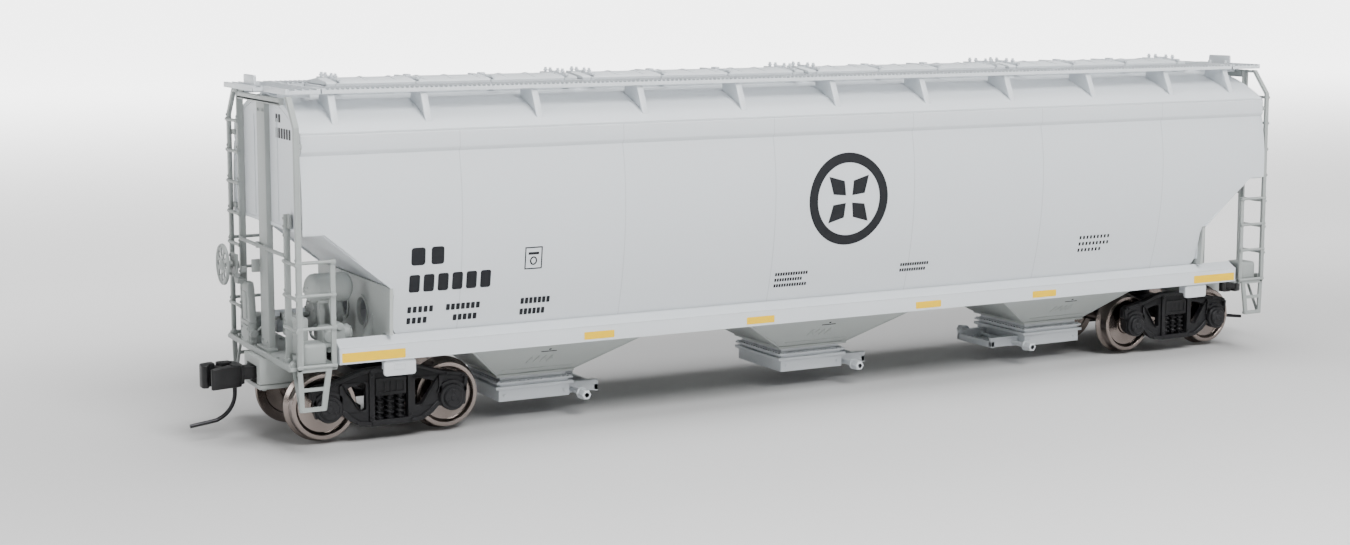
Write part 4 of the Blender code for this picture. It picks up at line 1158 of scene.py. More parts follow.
def make_sideframe(side):
    """A cast roller-bearing sideframe: bearing ends, side windows, spring window and its ledges."""
    half = [(3.4, 11.05), (5.6, 10.65), (8.2, 9.75), (10.0, 9.35), (12.0, 9.05), (12.7, 8.7), (13.0, 8.1),
            (13.0, 6.9), (12.55, 6.6), (12.3, 4.2), (11.8, 3.75), (9.3, 3.75), (8.6, 4.25), (8.0, 4.1),
            (6.9, 3.0), (5.2, 2.05), (3.4, 1.8)]
    window = [(4.1, 4.6), (4.5, 4.35), (5.2, 4.7), (7.2, 7.4), (7.2, 7.9), (6.7, 8.25), (4.5, 8.8), (4.1, 8.5)]
    ridge = [(3.4, 11.05), (5.6, 10.65), (8.2, 9.75), (12.0, 9.05), (12.7, 8.7), (12.5, 8.25), (11.8, 8.45),
             (8.0, 9.15), (5.4, 10.05), (3.4, 10.4)]
    lower = [(3.0, 1.85), (5.2, 2.05), (6.9, 3.0), (8.2, 4.3), (7.8, 4.9), (6.4, 3.65), (5.0, 2.75), (3.0, 2.5)]
    column = [(2.75, 2.6), (3.6, 2.6), (3.6, 10.4), (2.75, 10.4)]
    diagonal = [(7.3, 8.1), (8.1, 8.9), (5.6, 5.1), (4.9, 4.3)]
    inner_leg = [(8.0, 4.0), (8.45, 4.0), (8.45, 8.6), (8.0, 8.9)]
    outer_leg = [(12.0, 3.9), (12.4, 3.9), (12.9, 8.4), (12.4, 8.4)]
    back, face = side * 11.7, side * 12.3
    loops = [both_halves(half), rounded_rectangle(-2.75, 2.75, 2.75, 8.9, 0.3)]
    loops += [on_side(way, window) for way in SIDES]
    parts = [softened(plate(loops, side * 10.75, side * 11.95, "XZ"), 0.14, 2, 30)]
    for way in SIDES:
        axle = (way * AXLE_SHIFT, AXLE_Z)
        for outline, width in ((ridge, 0.1), (lower, 0.1), (column, 0.1), (diagonal, 0.08)):
            parts.append(pressed(on_side(way, outline), back, face, "XZ", width, 1, 30))
        hood = arc(axle, 2.75, 20, 160, 14) + list(reversed(arc(axle, 2.2, 20, 160, 14)))
        for outline in (hood, on_side(way, inner_leg), on_side(way, outer_leg)):
            parts.append(plate([outline], back, face, "XZ"))
        parts.append(block((axle[0] - 1.75, side * 11.8, AXLE_Z + 1.45),
                           (axle[0] + 1.75, side * 12.2, AXLE_Z + 2.2), 0.1))
    frame_loops = [rounded_rectangle(-2.5, 2.5, 6.7, 9.3, 0.2), rounded_rectangle(-2.05, 2.05, 7.1, 8.85, 0.15)]
    parts += [block((-3.4, back, 10.3), (3.4, face, 11.05), 0.12),
              block((-3.4, side * 10.6, 1.8), (3.4, face, 2.75), 0.14),
              block((-2.6, side * 10.6, 6.5), (2.6, side * 12.05, 9.4), 0.18),
              plate(frame_loops, side * 11.9, side * 12.2, "XZ")]
    bar_face = side * (12.1 if side > 0 else 12.2)
    parts += [block((x - 0.14, side * 11.9, 7.1), (x + 0.14, bar_face, 8.85), 0.03) for x in (-1.0, 0.0, 1.0)]
    bolts = []
    for way in SIDES:
        axle = (way * AXLE_SHIFT, AXLE_Z)
        for radius, start, end, count, chamfer in (
                (2.15, 11.2, 12.75, 28, 0.15), (1.55, 12.6, 13.1, 28, 0.15), (0.55, 12.9, 13.2, 12, 0.1)):
            parts.append(rod(radius, side * start, side * end, axle, "Y", count, chamfer))
        for angle in (math.radians(90 + 120 * step) for step in range(3)):
            bolts.append(((axle[0] + 1.02 * math.cos(angle), side * 13.0, AXLE_Z + 1.02 * math.sin(angle)),
                          outward(side)))
    rivets = [((way * x, side * 12.28, z), outward(side)) for way in SIDES for x, z in
              ((3.2, 9.9), (3.2, 3.2), (5.6, 2.6), (11.9, 8.6), (9.3, 9.1))]
    return joined(parts, copies(hex_head(0.3, 0.22), bolts, BLACK), copies(dome(0.26, 0.2), rivets, BLACK))


def make_truck_frame():
    """Both sideframes, the bolster, its centre plate, the spring nests and the brake beams."""
    parts = [make_sideframe(-1), make_sideframe(1), block((-3.0, -11.0, 6.9), (3.0, 11.0, 9.3), 0.25),
             block((-2.2, -9.5, 6.3), (2.2, 9.5, 7.1), 0.2), rod(3.0, 9.0, 10.4, (0, 0), "Z", 32, 0.1)]
    for side in SIDES:
        parts += [rod(1.0, 9.2, 9.9, (0, side * 7.2), "Z", 16, 0.08),
                  block((side * 4.6 - 0.45, -9.6, 4.0), (side * 4.6 + 0.45, 9.6, 4.9), 0.1)]
    frame_cast = cut(joined(parts), rod(1.3, 6.0, 11.0, (0, 0), "Z", 24))
    nests = [(x, side * 11.15) for x in (-1.75, 0.0, 1.75) for side in SIDES]
    springs = run_tree(TREES["coil"], points_mesh(aimed("+Z", [(x, y, SPRING_SEAT) for x, y in nests])), {
        "Turns": 4.5, "Radius": 0.6, "Height": 3.9, "Wire": 0.24, "Finish": BLACK.material})
    cores = [rod(0.42, SPRING_SEAT, 6.6, nest, "Z", 10) for nest in nests]
    screens = [block((-2.8, side * 10.1, 2.6), (2.8, side * 10.4, 6.8), 0.05) for side in SIDES]
    return joined(frame_cast, springs, cores, screens)


def make_truck_screw():
    """The headed screw that a truck turns on."""
    profile = [(0, 5.95), (0.55, 5.95), (0.55, 5.6), (1.9, 5.6), (2.4, 6.1), (2.4, 6.7), (1.1, 6.7), (1.1, 12.7),
               (0, 12.7)]
    return turned(profile, 32)


def make_wheel(side):
    """A turned wheel about its own axle: chamfered tread, flange, dished web and hub with their tool rings."""
    front, back = WHEEL_HIGH.y, WHEEL_LOW.y
    tread, flange, hole = AXLE_Z, AXLE_Z + FLANGE_DEPTH, 0.95
    outer_face = [(hole, front - 0.1), (1.7, front - 0.1), (1.9, front - 0.25), (2.05, front - 0.6),
                  (2.3, front - 0.7), (4.1, front - 0.7), (4.25, front - 0.62), (4.42, front - 0.2),
                  (4.5, front - 0.06), (4.58, front), (tread - 0.12, front)]
    running = [(tread, front - 0.12), (tread + 0.02, back + 1.15), (tread + 0.1, back + 0.95),
               (flange - 0.15, back + 0.6), (flange, back + 0.42), (flange, back + 0.25), (flange - 0.2, back)]
    inner_face = [(4.4, back), (4.2, back + 0.2), (1.9, back + 0.35), (1.7, back), (hole, back)]
    mesh = turned(outer_face + running + inner_face, 72, "Y", (0, 0, 0), closed=True, keep_radius=True)
    return mesh if side > 0 else moved(mesh, HALF_TURN)


def make_axle():
    """An axle with needle points, about its own middle."""
    half = [(0, 12.3), (0.6, 11.0), (0.6, 9.95), (0.8, 9.85), (0.9, 9.7), (0.9, 7.0), (0.94, 6.8), (0.94, 6.2),
            (0.8, 5.6)]
    profile = half + [(radius, -height) for radius, height in reversed(half)]
    return turned(profile, 28, "Y", (0, 0, 0))


# ---------------------------------------------------------------- couplers, about their pivot, B end

PIN = (-9.3, 1.4)  # the knuckle's hinge


def make_coupler():
    """Shank, head with its guard arm, and the lugs that hold the knuckle."""
    shank_loop = arc((0, 0), 1.8, -143, 143, 24) + [(-7.2, 1.1), (-7.2, -1.1)]
    shank = softened(plate([shank_loop, oval((0, 0), 1.05, 1.05)], 8.9, 10.9, "XY"), 0.12)
    head_loop = [(-6.9, 1.2), (-6.9, -1.2), (-7.3, -2.7), (-8.0, -3.0), (-9.0, -3.1), (-10.4, -3.45),
                 (-11.7, -3.7), (-12.2, -3.6), (-12.3, -3.2), (-12.1, -2.9), (-11.0, -2.1), (-9.9, -1.5),
                 (-8.5, -0.8), (-8.4, 0.4), (-8.4, 2.5), (-7.3, 2.5)]
    head = pressed(head_loop, 8.15, 11.45, "XY", 0.16)
    collar = block((-7.5, -1.7, 8.3), (-6.5, 1.9, 11.3), 0.25)
    lug = [arc(PIN, 0.95, 90, 270, 14) + [(-8.0, 0.45), (-8.0, 2.35)], oval(PIN, 0.42, 0.42, 16)]
    lugs = [softened(plate(lug, low, high, "XY"), 0.06) for low, high in ((8.0, 8.45), (11.15, 11.6))]
    rib = block((-8.7, -2.9, 11.3), (-7.4, -1.0, 11.6), 0.12)
    return joined(shank, head, collar, lugs, rib)


def make_knuckle():
    """The knuckle with its hook and hinge pin."""
    nose = [(-10.5, 2.65), (-11.2, 2.6), (-12.0, 2.4), (-12.5, 2.1), (-12.8, 1.7), (-12.9, 1.2), (-12.9, -0.3),
            (-12.7, -0.6), (-12.2, -0.75), (-11.95, -0.6), (-11.8, -0.3), (-11.7, 0.2), (-11.4, 0.6), (-10.5, 0.9)]
    root = arc(PIN, 0.75, -70, 90, 8) + [(-10.5, 2.65), (-11.2, 2.6), (-11.7, 1.4), (-10.5, 0.9), (-9.8, 0.65)]
    return joined(pressed(nose, 7.95, 11.55, "XY", 0.16), pressed(root, 8.55, 11.05, "XY", 0.08),
                  rod(0.38, 7.95, 11.65, PIN, "Z", 16, 0.06))


def make_trip_pin():
    """The bent wire under a coupler's head: straight down, round a bend and out to its tip."""
    bend = 4.3
    points = [(-7.7, 0, 9.6), (-7.7, 0, 8.2), (-7.7, 0, 6.8)]
    for angle in (math.radians(step * 11) for step in range(1, 8)):
        points.append((-12.0 + bend * math.cos(angle), 0, 6.8 - bend * math.sin(angle)))
    points.append((-14.9, 0, 2.1))
    return tube(points, 0.33, 4)


# ---------------------------------------------------------------- brake gear at the B end

def make_brake_wheel():
    """The hand wheel about its own shaft: a rim, eight oval windows, a dished hub and nut."""
    loops = [oval((0, 0), 3.3, 3.3, 64)]
    for step in range(8):
        angle = 2 * math.pi * step / 8
        window = []
        for turn_step in range(16):
            around = 2 * math.pi * turn_step / 16
            along, across = 2.05 + 0.72 * math.cos(around), 0.5 * math.sin(around)
            window.append((along * math.cos(angle) - across * math.sin(angle),
                           along * math.sin(angle) + across * math.cos(angle)))
        loops.append(window)
    disc = softened(plate(loops, -0.12, 0.1, "YZ"), 0.04, 1)
    rim = turned([(3.35, -0.12), (3.28, -0.24), (3.1, -0.25), (2.98, -0.15), (2.98, 0.15), (3.1, 0.25),
                  (3.28, 0.24), (3.35, 0.12)], 64, "X", (0, 0, 0), closed=True)
    hub = turned([(0, 2.6), (0.45, 2.6), (0.45, 0.2), (0.95, 0.12), (0.95, -0.2), (0.6, -0.32), (0.45, -0.5),
                  (0, -0.5)], 24, "X")
    return joined(disc, rim, hub)


def make_brake_gearbox():
    """The hand brake's gear housing: cover with bolts, bearing boss, ribs and the arm to the centre post."""
    y, z = BRAKE_WHEEL.y, BRAKE_WHEEL.z
    parts = [block((-99.2, y - 2.0, z - 2.5), (-97.75, y + 1.9, z + 2.0), 0.35, 3),
             block((-99.4, y - 1.7, z - 2.2), (-98.9, y + 1.6, z + 1.7), 0.2),
             rod(1.0, -99.85, -99.2, (y, z), "X", 20, 0.1),
             block((-98.2, 2.2, z - 0.4), (-97.2, y - 1.7, z + 1.3), 0.15),
             block((-98.35, 2.0, z - 0.55), (-97.1, 2.6, z + 1.5), 0.12),
             block((-98.6, y - 2.5, z - 1.2), (-97.8, y - 1.8, z - 0.2), 0.15),
             rod(0.6, y + 1.7, y + 2.3, (-98.5, z - 1.0), "Y", 14, 0.08)]
    chute = plate([[(y - 1.4, z - 2.4), (y + 1.2, z - 2.4), (y + 0.8, z - 3.2), (y - 1.0, z - 3.2)]],
                  -98.9, -97.8, "YZ")
    bolts = aimed("-X", [(-99.4, y + across, z + up)
                         for across, up in ((-1.3, 1.3), (1.2, 1.3), (-1.3, -1.8), (1.2, -1.8))])
    whole = joined(parts, chute, copies(hex_head(0.24, 0.2), bolts, TRIM_PAINT))
    return cut(whole, rod(0.5, -100.5, -98.0, (y, z), "X", 20))


def make_brake_housing():
    """The chain and bell-crank housing between the gear housing and the platform."""
    main = [(4.9, STAND), (9.6, STAND), (9.6, 16.6), (8.6, 17.6), (9.2, 20.4), (9.3, 22.2), (8.7, 23.1),
            (6.4, 23.1), (5.9, 22.0), (5.4, 19.2), (5.2, 17.2)]
    parts = [pressed(main, -98.1, -96.9, "YZ", 0.18, 2, 30),
             pressed([(5.2, 13.4), (9.3, 13.4), (9.3, 16.2), (5.2, 16.2)], -98.3, -97.9, "YZ", 0.1),
             pressed([(6.3, 17.2), (8.1, 17.2), (8.5, 21.6), (6.6, 21.6)], -98.3, -98.0, "YZ", 0.1),
             block((-98.25, 5.1, 16.5), (-96.85, 9.5, 16.95), 0.1),
             rod(0.7, 4.6, 5.3, (-97.5, 15.0), "Y", 16, 0.08)]
    bolts = aimed("-X", [(-98.3, y, z) for y in (5.7, 8.8) for z in (13.9, 15.7)])
    return joined(parts, copies(hex_head(0.22, 0.18), bolts, TRIM_PAINT))


def make_tank(start, end, y, z, radius, segments=36):
    """A cylinder along X with a shallow dome at either end."""
    depth = radius * 0.6
    profile = [(0, start)]
    for step in range(1, 7):
        angle = math.radians(15 * step)
        profile.append((radius * math.sin(angle), start + depth - depth * math.cos(angle)))
    for step in range(6, 0, -1):
        angle = math.radians(15 * step)
        profile.append((radius * math.sin(angle), end - depth + depth * math.cos(angle)))
    profile.append((0, end))
    return turned(profile, segments, "X", (0, y, z))


def make_air_reservoir():
    """The domed air tank with its two bands, drain plugs and stand."""
    y, z = -6.4, 23.4
    parts = [make_tank(-92.6, -84.9, y, z, 2.3)]
    for x in (-90.6, -86.7):
        parts.append(turned([(2.36, x - 0.28), (2.36, x + 0.28), (2.2, x + 0.28), (2.2, x - 0.28)], 36, "X",
                            (0, y, z), closed=True))
    parts += [block((-90.4, -7.0, 14.3), (-89.6, -5.8, 22.0), 0.1),
              block((-90.5, -7.2, STAND), (-89.5, -3.4, 14.6), 0.1),
              block((-90.9, -8.1, 21.2), (-89.1, -4.7, 21.7), 0.1),
              turned([(0, -92.75), (0.35, -92.75), (0.45, -92.3), (0, -92.2)], 12, "X", (0, y, z))]
    plugs = aimed("-X", [(-92.36, y - 1.0, z + 0.3), (-92.36, y + 0.9, z - 0.5)])
    return joined(parts, copies(hex_head(0.2, 0.2), plugs, PAINTED_SHADE_GREY))


def make_brake_cylinder():
    """The brake cylinder on the stub sill: ribbed barrel, bolted cap and push rod."""
    y, z = 0.2, 18.3
    barrel, ring = 2.12, 2.25
    profile = [(0, -89.9), (1.0, -89.9), (1.2, -89.95), (1.7, -89.75), (2.5, -89.7), (2.5, -89.05), (2.2, -88.95),
               (barrel, -88.5), (barrel, -88.1), (ring, -88.0), (ring, -87.7), (barrel, -87.6), (barrel, -86.6),
               (ring, -86.5), (ring, -86.2), (barrel, -86.1), (barrel, -85.2), (1.9, -84.7), (1.2, -84.4),
               (0, -84.4)]
    parts = [turned(profile, 36, "X", (0, y, z)), rod(0.42, -94.5, -89.5, (y, z), "X", 14, 0.05),
             block((-94.5, y - 0.55, z - 0.6), (-93.4, y + 0.55, z + 0.6), 0.12),
             block((-88.6, -1.6, 14.28), (-85.4, 2.0, 17.0), 0.15)]
    angles = [math.radians(45 * step + 22) for step in range(8)]
    bolts = aimed("-X", [(-89.7, y + 2.15 * math.cos(angle), z + 2.15 * math.sin(angle)) for angle in angles])
    return joined(parts, copies(hex_head(0.22, 0.22), bolts, PAINTED_SHADE_GREY))


def make_control_valve():
    """The control valve: pipe bracket, two bolted portions and their caps."""
    parts = [block((-91.7, -12.3, 14.8), (-89.6, -9.2, 18.2), 0.55, 3),
             block((-90.0, -12.0, 15.2), (-87.9, -9.4, 17.9), 0.35, 3),
             rod(1.3, -88.3, -87.0, (-10.7, 16.9), "X", 20, 0.2),
             rod(0.8, -87.2, -86.6, (-10.7, 16.9), "X", 16, 0.12),
             rod(0.95, -12.45, -11.9, (-90.6, 16.6), "Y", 18, 0.12),
             rod(0.6, -12.4, -9.6, (-88.9, 18.1), "Y", 12, 0.1),
             block((-90.6, -11.4, 14.0), (-88.9, -10.0, 15.0), 0.12)]
    bolts = aimed("+X", [(-87.05, -10.7 + math.cos(angle), 16.9 + math.sin(angle))
                         for angle in (0.6, 2.2, 3.7, 5.3)])
    bolts += aimed("-Y", [(x, -12.3, z) for x in (-91.2, -89.95) for z in (15.3, 17.8)])
    return joined(parts, copies(hex_head(0.24, 0.24), bolts, TRIM_PAINT))


def make_brake_pipes():
    """Pipes between the valve, tank and cylinder, the chain rod, and the ribbed bracket box beside the post."""
    runs = [
        ([(-89.6, -10.6, 18.1), (-89.6, -10.4, 20.0), (-89.2, -8.6, 21.4), (-88.8, -7.6, 21.7)], 0.26),
        ([(-90.9, -9.6, 16.0), (-91.2, -6.0, 15.6), (-90.6, -3.0, 16.2), (-88.9, -1.9, 17.2)], 0.24),
        ([(-91.3, -10.6, 14.9), (-91.5, -10.6, 14.0), (-91.6, -9.0, 13.5), (-91.8, 5.0, 13.5)], 0.24),
        ([(-94.0, 0.4, 18.3), (-95.4, 3.4, 17.0), (-96.9, 5.6, 15.2)], 0.2),
        ([(-88.4, -11.0, 14.9), (-86.0, -11.2, 14.4), (-83.0, -11.3, 14.4)], 0.26),
    ]
    box = [block((-94.7, -9.4, 15.6), (-93.0, -1.4, 19.3), 0.3),
           block((-94.4, -8.2, STAND), (-93.3, -2.6, 15.8), 0.15),
           block((-94.85, -9.0, 16.2), (-94.6, -1.8, 16.7), 0.08),
           block((-94.85, -9.0, 18.2), (-94.6, -1.8, 18.7), 0.08)]
    ribs = [block((-94.85, y - 0.15, 15.9), (-94.6, y + 0.15, 19.0), 0.05) for y in (-8.6, -6.6, -4.2, -2.2)]
    return joined([tube(points, radius, 2) for points, radius in runs], box, ribs)


# ---------------------------------------------------------------- printed marks, plain shapes without lettering

def wrapped(flat, side, sink, proud):
    """The part of a flat shape, drawn in X and Z, that lies in a thin layer on the curved side sheet."""
    z_low = min(vert.co.z for vert in flat.vertices) - 0.5
    z_high = max(vert.co.z for vert in flat.vertices) + 0.5
    count = max(3, int((z_high - z_low) / 0.8))
    heights = [z_low + (z_high - z_low) * step / count for step in range(count + 1)]
    band = ([(side * (side_y(z) + proud), z) for z in heights]
            + [(side * (side_y(z) - sink), z) for z in reversed(heights)])
    x_low = min(vert.co.x for vert in flat.vertices) - 1
    x_high = max(vert.co.x for vert in flat.vertices) + 1
    return combine(flat, plate([band], x_low, x_high, "YZ"), "INTERSECT")


def bar_blocks(left, bottom, height, widths, gap):
    """Outlines of a row of upright bars that stand in for figures."""
    outlines, x = [], left
    for width in widths:
        outlines.append(rounded_rectangle(x, x + width, bottom, bottom + height, min(width, height) * 0.18, 2))
        x += width + gap
    return outlines


def make_side_print(side):
    """Every dark mark on one side: an open ring with four leaves, rows of bars and a small plate box."""
    flip = -side
    figure, small = (0.62,), (0.35,)
    rows = [(-79.2, 27.6, 2.8, (2.3, 2.1), 1.0), (-79.4, 23.3, 2.8, (1.75,) * 6, 0.62),
            (-79.4, 20.0, 1.0, (0.6,) * 5, 0.3), (-73.0, 20.0, 1.0, figure * 7, 0.22),
            (-79.4, 18.2, 1.0, (0.6,) * 4, 0.3), (-71.7, 18.2, 1.0, figure * 5, 0.22),
            (-60.3, 20.0, 1.0, (0.55,) * 7, 0.2), (-60.3, 18.2, 1.0, (0.55,) * 6, 0.2),
            (-13.2, 21.2, 0.55, small * 13, 0.16), (-13.2, 20.2, 0.55, small * 11, 0.16),
            (-13.2, 19.2, 0.55, small * 13, 0.16),
            (12.5, 21.2, 0.55, small * 12, 0.16), (12.5, 20.2, 0.55, small * 11, 0.16),
            (52.2, 23.6, 0.62, (0.4,) * 9, 0.42), (52.2, 22.4, 0.62, (0.4,) * 9, 0.42),
            (52.2, 21.2, 0.62, (0.4,) * 7, 0.42)]
    shapes = [[outline] for row in rows for outline in bar_blocks(*row)]
    box_x, box_z = -58.6, 27.5
    shapes.append([rectangle(box_x - 1.5, box_x + 1.5, box_z - 1.8, box_z + 1.8),
                   rectangle(box_x - 1.32, box_x + 1.32, box_z - 1.62, box_z + 1.62)])
    shapes.append([rectangle(box_x - 0.9, box_x + 0.9, box_z + 0.55, box_z + 0.95),
                   oval((box_x, box_z - 0.45), 0.62, 0.7, 20), oval((box_x, box_z - 0.45), 0.4, 0.48, 20)])
    shapes = [[on_side(flip, loop) for loop in loops] for loops in shapes]
    centre_x, centre_z = 0.5 * flip, 33.9
    shapes.append([oval((centre_x, centre_z), 8.0, 8.0, 96), oval((centre_x, centre_z), 6.3, 6.3, 80)])
    for step in range(4):
        angle = math.radians(90 * step + 45)
        shapes.append([[(centre_x + radius * math.cos(angle + lean), centre_z + radius * math.sin(angle + lean))
                        for radius, lean in ((0.9, 0.0), (3.3, 0.5), (5.7, 0.0), (3.3, -0.5))]])
    return [wrapped(plate(loops, -BEYOND, BEYOND, "XZ"), side, 0.1, 0.045) for loops in shapes]


def make_bay_print(side, middle):
    """A short dark dash with a dot over it, high on a bay's side sheet."""
    lean = math.atan(BAY_FLARE)
    marks = []
    for x_low, x_high, z_low, z_high in ((-0.9, 1.9, 11.1, 11.28), (0.35, 0.75, 11.45, 11.75)):
        dash = block((x_low, -0.05, 0), (x_high, 0.05, z_high - z_low), 0.02)
        y = side * (CHUTE_HALF_Y + BAY_FLARE * (z_low - CHUTE_BOTTOM))
        place = Matrix.Translation((middle, y, z_low)) @ Matrix.Rotation(-side * lean, 4, "X")
        marks.append(moved(dash, place))
    return marks


def make_end_print(turn):
    """Two short rows of bars high on the end sheet, beside the centre post."""
    rows = bar_blocks(5.5, 49.6, 1.3, (0.95,) * 2, 0.45) + bar_blocks(5.5, 47.2, 1.6, (0.85,) * 6, 0.45)
    return [moved(plate([on_side(-1, outline)], -BODY_END - 0.04, -BODY_END + 0.1, "YZ"), turn)
            for outline in rows]


def make_yellow_stripes(side):
    """Reflective stripes along the sill's face, taller at the two ends."""
    stripes, middle = [], 14.1
    for left, right in ((-90.4, -80.2), (80.2, 90.4), (-49.6, -44.2), (-19.2, -13.8), (15.4, 20.8), (41.3, 46.7)):
        half = 0.72 if right - left > 8 else 0.6
        outline = rounded_rectangle(-side * left, -side * right, middle - half, middle + half, 0.12, 2)
        stripes.append(plate([outline], side * (SILL_FACE - 0.1), side * (SILL_FACE + 0.035), "XZ"))
    return stripes


# ---------------------------------------------------------------- assembly

CAR = "car_body"
finish_piece("body_skin", joined(
    make_shell(), make_side_seams(), make_end_sheet_trim(AS_DRAWN), make_end_sheet_trim(HALF_TURN),
    make_slope_trim(AS_DRAWN), make_slope_trim(HALF_TURN)), BODY_PAINT, CAR, ["body_shell"], 30)
finish_piece("roof_skin", make_roof(), PLAIN_PAINT, CAR, ["roof"], 30)
for number in range(1, 5):
    finish_piece(f"hatch_{number}", make_hatch_cover(number), PLAIN_PAINT, CAR,
                 [f"hatch_cover_{number}"])
finish_piece("hatch_fittings", make_hatch_fittings(), PLAIN_PAINT, CAR)
for board in ("running_board_left", "running_board_right"):
    finish_piece(f"{board}_grating", make_running_board(board), PLAIN_PAINT, CAR, [board])
for sill, side in (("side_sill_left", 1), ("side_sill_right", -1)):
    finish_piece(f"{sill}_rolled", make_side_sill(side), PLAIN_PAINT, CAR, [sill])

for end, turn in (("b", AS_DRAWN), ("a", HALF_TURN)):
    for title, mesh, finish, nodes in (
            ("walkway", make_end_walkway(), PLAIN_PAINT, [f"end_walkway_{end}"]),
            ("platform", make_end_platform(), TRIM_PAINT, [f"end_platform_{end}"]),
            ("stub_sill", make_stub_sill(), PAINTED_SHADE_GREY, [f"stub_sill_{end}"]),
            ("draft_lid", make_draft_box_lid(), PAINTED_SHADE_GREY, [f"draft_box_lid_{end}"]),
            ("post", make_centre_post(), TRIM_PAINT, [f"centre_post_{end}"]),
            ("ladder_tall", joined(make_end_ladder(True, 1), make_side_ladder(1)), TRIM_PAINT,
             [f"corner_ladder_{end}_tall"]),
            ("ladder_short", joined(make_end_ladder(False, -1), make_side_ladder(-1)), TRIM_PAINT,
             [f"corner_ladder_{end}_short"])):
        finish_piece(f"{title}_{end}_fitted", moved(mesh, turn), finish, CAR, nodes)


for number, (x, direction, left, right) in enumerate((
        (-BAY_X, 1, "end", "ridge"), (0.0, 1, "ridge", "ridge"), (BAY_X, -1, "ridge", "end")), 1):
    end_top = SILL_HEIGHT - 0.3
    reach = {"end": (slope_x(end_top) - BAY_X, end_top), "ridge": (BAY_X / 2 - GAP, RIDGE_HEIGHT)}
    # The bays take the darker grey of painted shade.
    finish_piece(f"bay_{number}_funnel", make_bay(x, reach[left], reach[right]), PAINTED_SHADE_GREY, CAR,
                 [f"hopper_bay_{number}"])
    finish_piece(f"gate_{number}_rack", make_outlet_gate(number, direction), PLAIN_PAINT, CAR,
                 [f"outlet_gate_{number}"])

for title, mesh, finish, nodes in (
        ("hand_brake_gearbox", make_brake_gearbox(), TRIM_PAINT, ["brake_gearbox"]),
        ("hand_brake_housing", make_brake_housing(), TRIM_PAINT, ["brake_housing"]),
        ("reservoir_tank", make_air_reservoir(), PAINTED_SHADE_GREY, ["air_reservoir"]),
        ("brake_cylinder_ribbed", make_brake_cylinder(), PAINTED_SHADE_GREY, ["brake_cylinder"]),
        ("control_valve_bolted", make_control_valve(), TRIM_PAINT, ["control_valve"]),
        ("brake_pipes", make_brake_pipes(), PAINTED_SHADE_GREY, [])):
    finish_piece(title, mesh, finish, CAR, nodes)
finish_piece("hand_wheel", moved(make_brake_wheel(), Matrix.Translation(BRAKE_WHEEL)), TRIM_PAINT,
             "brake_hand_wheel", ["brake_wheel"])
weight_low, weight_high = span("ballast_weight")
finish_piece("weight_bar", block(weight_low, weight_high, 0.3), WEIGHT_METAL, CAR,
             ["ballast_weight"])

wheelset = 0
for end, turn, way in (("b", AS_DRAWN, -1), ("a", HALF_TURN, 1)):
    centre = Matrix.Translation((way * TRUCK_X, 0, 0))
    body = f"truck_{end}"
    finish_piece(f"truck_{end}_cast", moved(make_truck_frame(), centre @ turn), BLACK, body,
                 [f"truck_frame_{end}"])
    finish_piece(f"truck_{end}_screw", moved(make_truck_screw(), centre), SCREW_METAL, CAR,
                 [f"truck_screw_{end}"])
    for shift in (-AXLE_SHIFT, AXLE_SHIFT):
        wheelset += 1
        place = Matrix.Translation((way * TRUCK_X + shift, 0, AXLE_Z))
        body = f"wheelset_{wheelset}"
        finish_piece(f"axle_{wheelset}_turned", moved(make_axle(), place), AXLE_METAL, body,
                     [f"axle_{wheelset}"])
        for title, side in (("left", 1), ("right", -1)):
            finish_piece(f"wheel_{wheelset}_{title}_turned", moved(make_wheel(side), place), WHEEL_METAL, body,
                         [f"wheel_{wheelset}_{title}"], 25)
    pivot = Matrix.Translation((way * COUPLER_X, 0, 0)) @ turn
    finish_piece(f"coupler_{end}_cast", moved(make_coupler(), pivot), COUPLER_BLACK, f"coupler_arm_{end}",
                 [f"coupler_{end}"])
    finish_piece(f"knuckle_{end}_cast", moved(make_knuckle(), pivot), COUPLER_BLACK, f"knuckle_jaw_{end}",
                 [f"knuckle_{end}"])
    finish_piece(f"trip_pin_{end}_bent", moved(make_trip_pin(), pivot), PIN_METAL, f"coupler_arm_{end}",
                 [f"trip_pin_{end}"])

for title, side in (("right", -1), ("left", 1)):
    finish_piece(f"side_print_{title}", joined(make_side_print(side)), DARK_INK, CAR)
    finish_piece(f"yellow_stripes_{title}", joined(make_yellow_stripes(side)), YELLOW_INK, CAR)
finish_piece("bay_print", joined([make_bay_print(side, x) for side in SIDES for x in (-BAY_X, 0.0, BAY_X)]),
             DARK_INK, CAR)
finish_piece("end_print", joined(make_end_print(AS_DRAWN), make_end_print(HALF_TURN)), DARK_INK, CAR)

# ---------------------------------------------------------------- stage, light and camera

BACKDROP = 4.5  # the strength of the table's glow far from the car
HORIZON, OVERHEAD = 0.38, 0.22  # the brightness of the air
CAMERA_PLACE = (-0.18698, -0.30495, 0.07167)
LOOK_DOWN, LOOK_RIGHT = 6.39, 28.18  # in degrees
LENS = 53.211


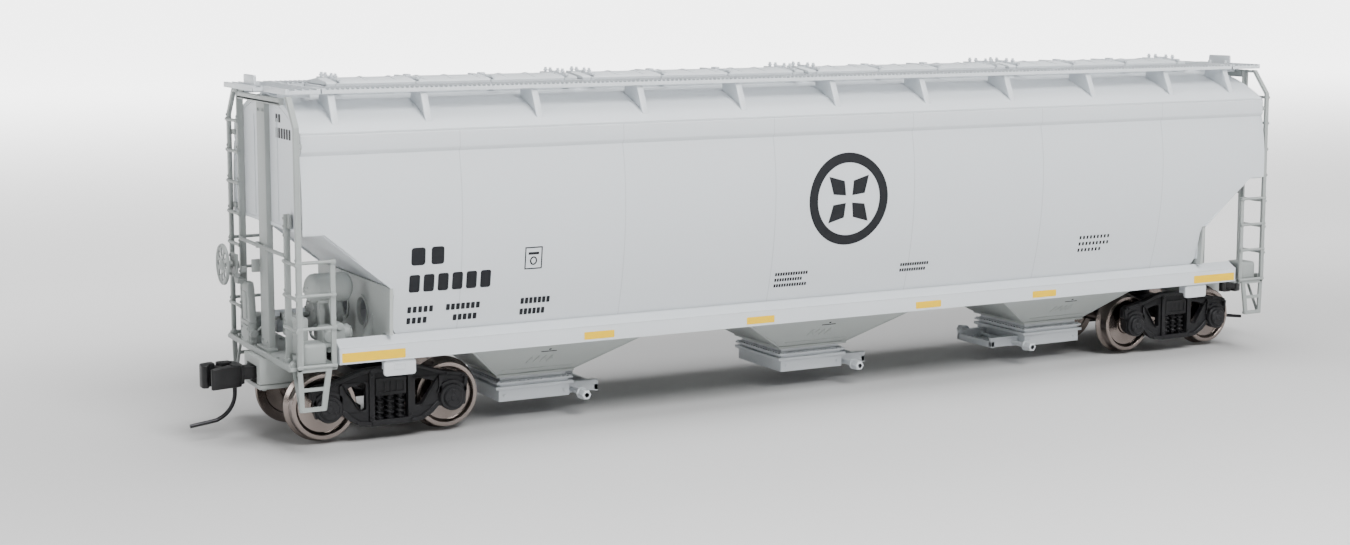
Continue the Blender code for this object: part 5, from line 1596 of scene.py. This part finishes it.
def make_stage():
    """A pale studio table whose far part glows like a lit backdrop, and which is darker near the car."""
    floor = bpy.data.meshes.new("floor")
    reach = 40.0
    corners = [(-reach, -reach, 0), (reach, -reach, 0), (reach, reach, 0), (-reach, reach, 0)]
    floor.from_pydata(corners, [], [(0, 1, 2, 3)])
    pale = Finish("pale_table", (0.88, 0.88, 0.88), 0.6, Emission_Strength=1.0)
    place = pale.place()
    stretched = pale.add("ShaderNodeVectorMath", {"operation": "MULTIPLY"}, {0: place, 1: (0.5, 1.0, 1.0)})
    distance = pale.add("ShaderNodeVectorMath", {"operation": "LENGTH"}, {0: stretched}, "Value")
    far = pale.add("ShaderNodeMapRange", {"interpolation_type": "SMOOTHSTEP"}, {
        0: distance, 1: 0.12, 2: 1.1, 3: 0.0, 4: 1.0})
    painted_shadow_pool = pale.add("ShaderNodeMapRange", {"interpolation_type": "SMOOTHSTEP"}, {
        0: distance, 1: 0.03, 2: 0.17, 3: 0.0, 4: 1.0})
    pale.set("Emission Color", pale.blend(far, (0, 0, 0), (BACKDROP,) * 3))
    # Darker near the car: partly a stand-in for the dark track that the car stands on, partly a painted soft
    # shadow round the car, which also cuts the bounce onto its undersides.
    pale.set("Base Color", pale.blend(painted_shadow_pool, (0.50, 0.50, 0.50), (0.88, 0.88, 0.88)))
    floor.materials.append(pale.material)
    made = new_object("studio_table", floor)
    made.location.z = -0.0002


def soft_light(name, place, target, size, power):
    """A rectangular lamp, aimed at a point."""
    data = bpy.data.lights.new(name, "AREA")
    data.shape = "RECTANGLE"
    data.size, data.size_y = size
    data.energy = power
    made = new_object(name, data)
    made.location = place
    made.rotation_euler = (Vector(target) - Vector(place)).to_track_quat("-Z", "Y").to_euler()


def make_world():
    """Even studio air, bright round the horizon and softer overhead."""
    world = bpy.data.worlds.new("studio_air")
    world.use_nodes = True
    tree = world.node_tree
    place = node(tree, "ShaderNodeTexCoord", {}, {}, "Generated")
    level = node(tree, "ShaderNodeMapRange", {"interpolation_type": "SMOOTHSTEP"}, {
        0: place.part(2), 1: 0.0, 2: 0.5, 3: HORIZON, 4: OVERHEAD})
    colour = node(tree, "ShaderNodeCombineColor", {}, {0: level, 1: level, 2: level})
    tree.links.new(colour.socket, tree.nodes["Background"].inputs["Color"])
    bpy.context.scene.world = world


def make_camera():
    """A camera off the B end's right corner, a little above the roof and looking down."""
    data = bpy.data.cameras.new("studio_camera")
    data.lens = LENS
    data.sensor_width = 36.0
    data.shift_y = -0.05
    data.clip_end = 100.0
    made = new_object("studio_camera", data)
    made.location = CAMERA_PLACE
    made.rotation_euler = Euler((math.radians(90 - LOOK_DOWN), 0, -math.radians(LOOK_RIGHT)))
    bpy.context.scene.camera = made


make_stage()
make_world()
soft_light("key_light", (0.05, -0.75, 0.85), (0, 0, 0.03), (0.5, 0.5), 17.0)
soft_light("end_light", (-0.95, -0.15, 0.45), (-0.1, 0, 0.03), (0.4, 0.4), 3.2)
soft_light("top_light", (0.05, 0.1, 1.1), (0, 0, 0.03), (0.8, 0.6), 12.0)
make_camera()
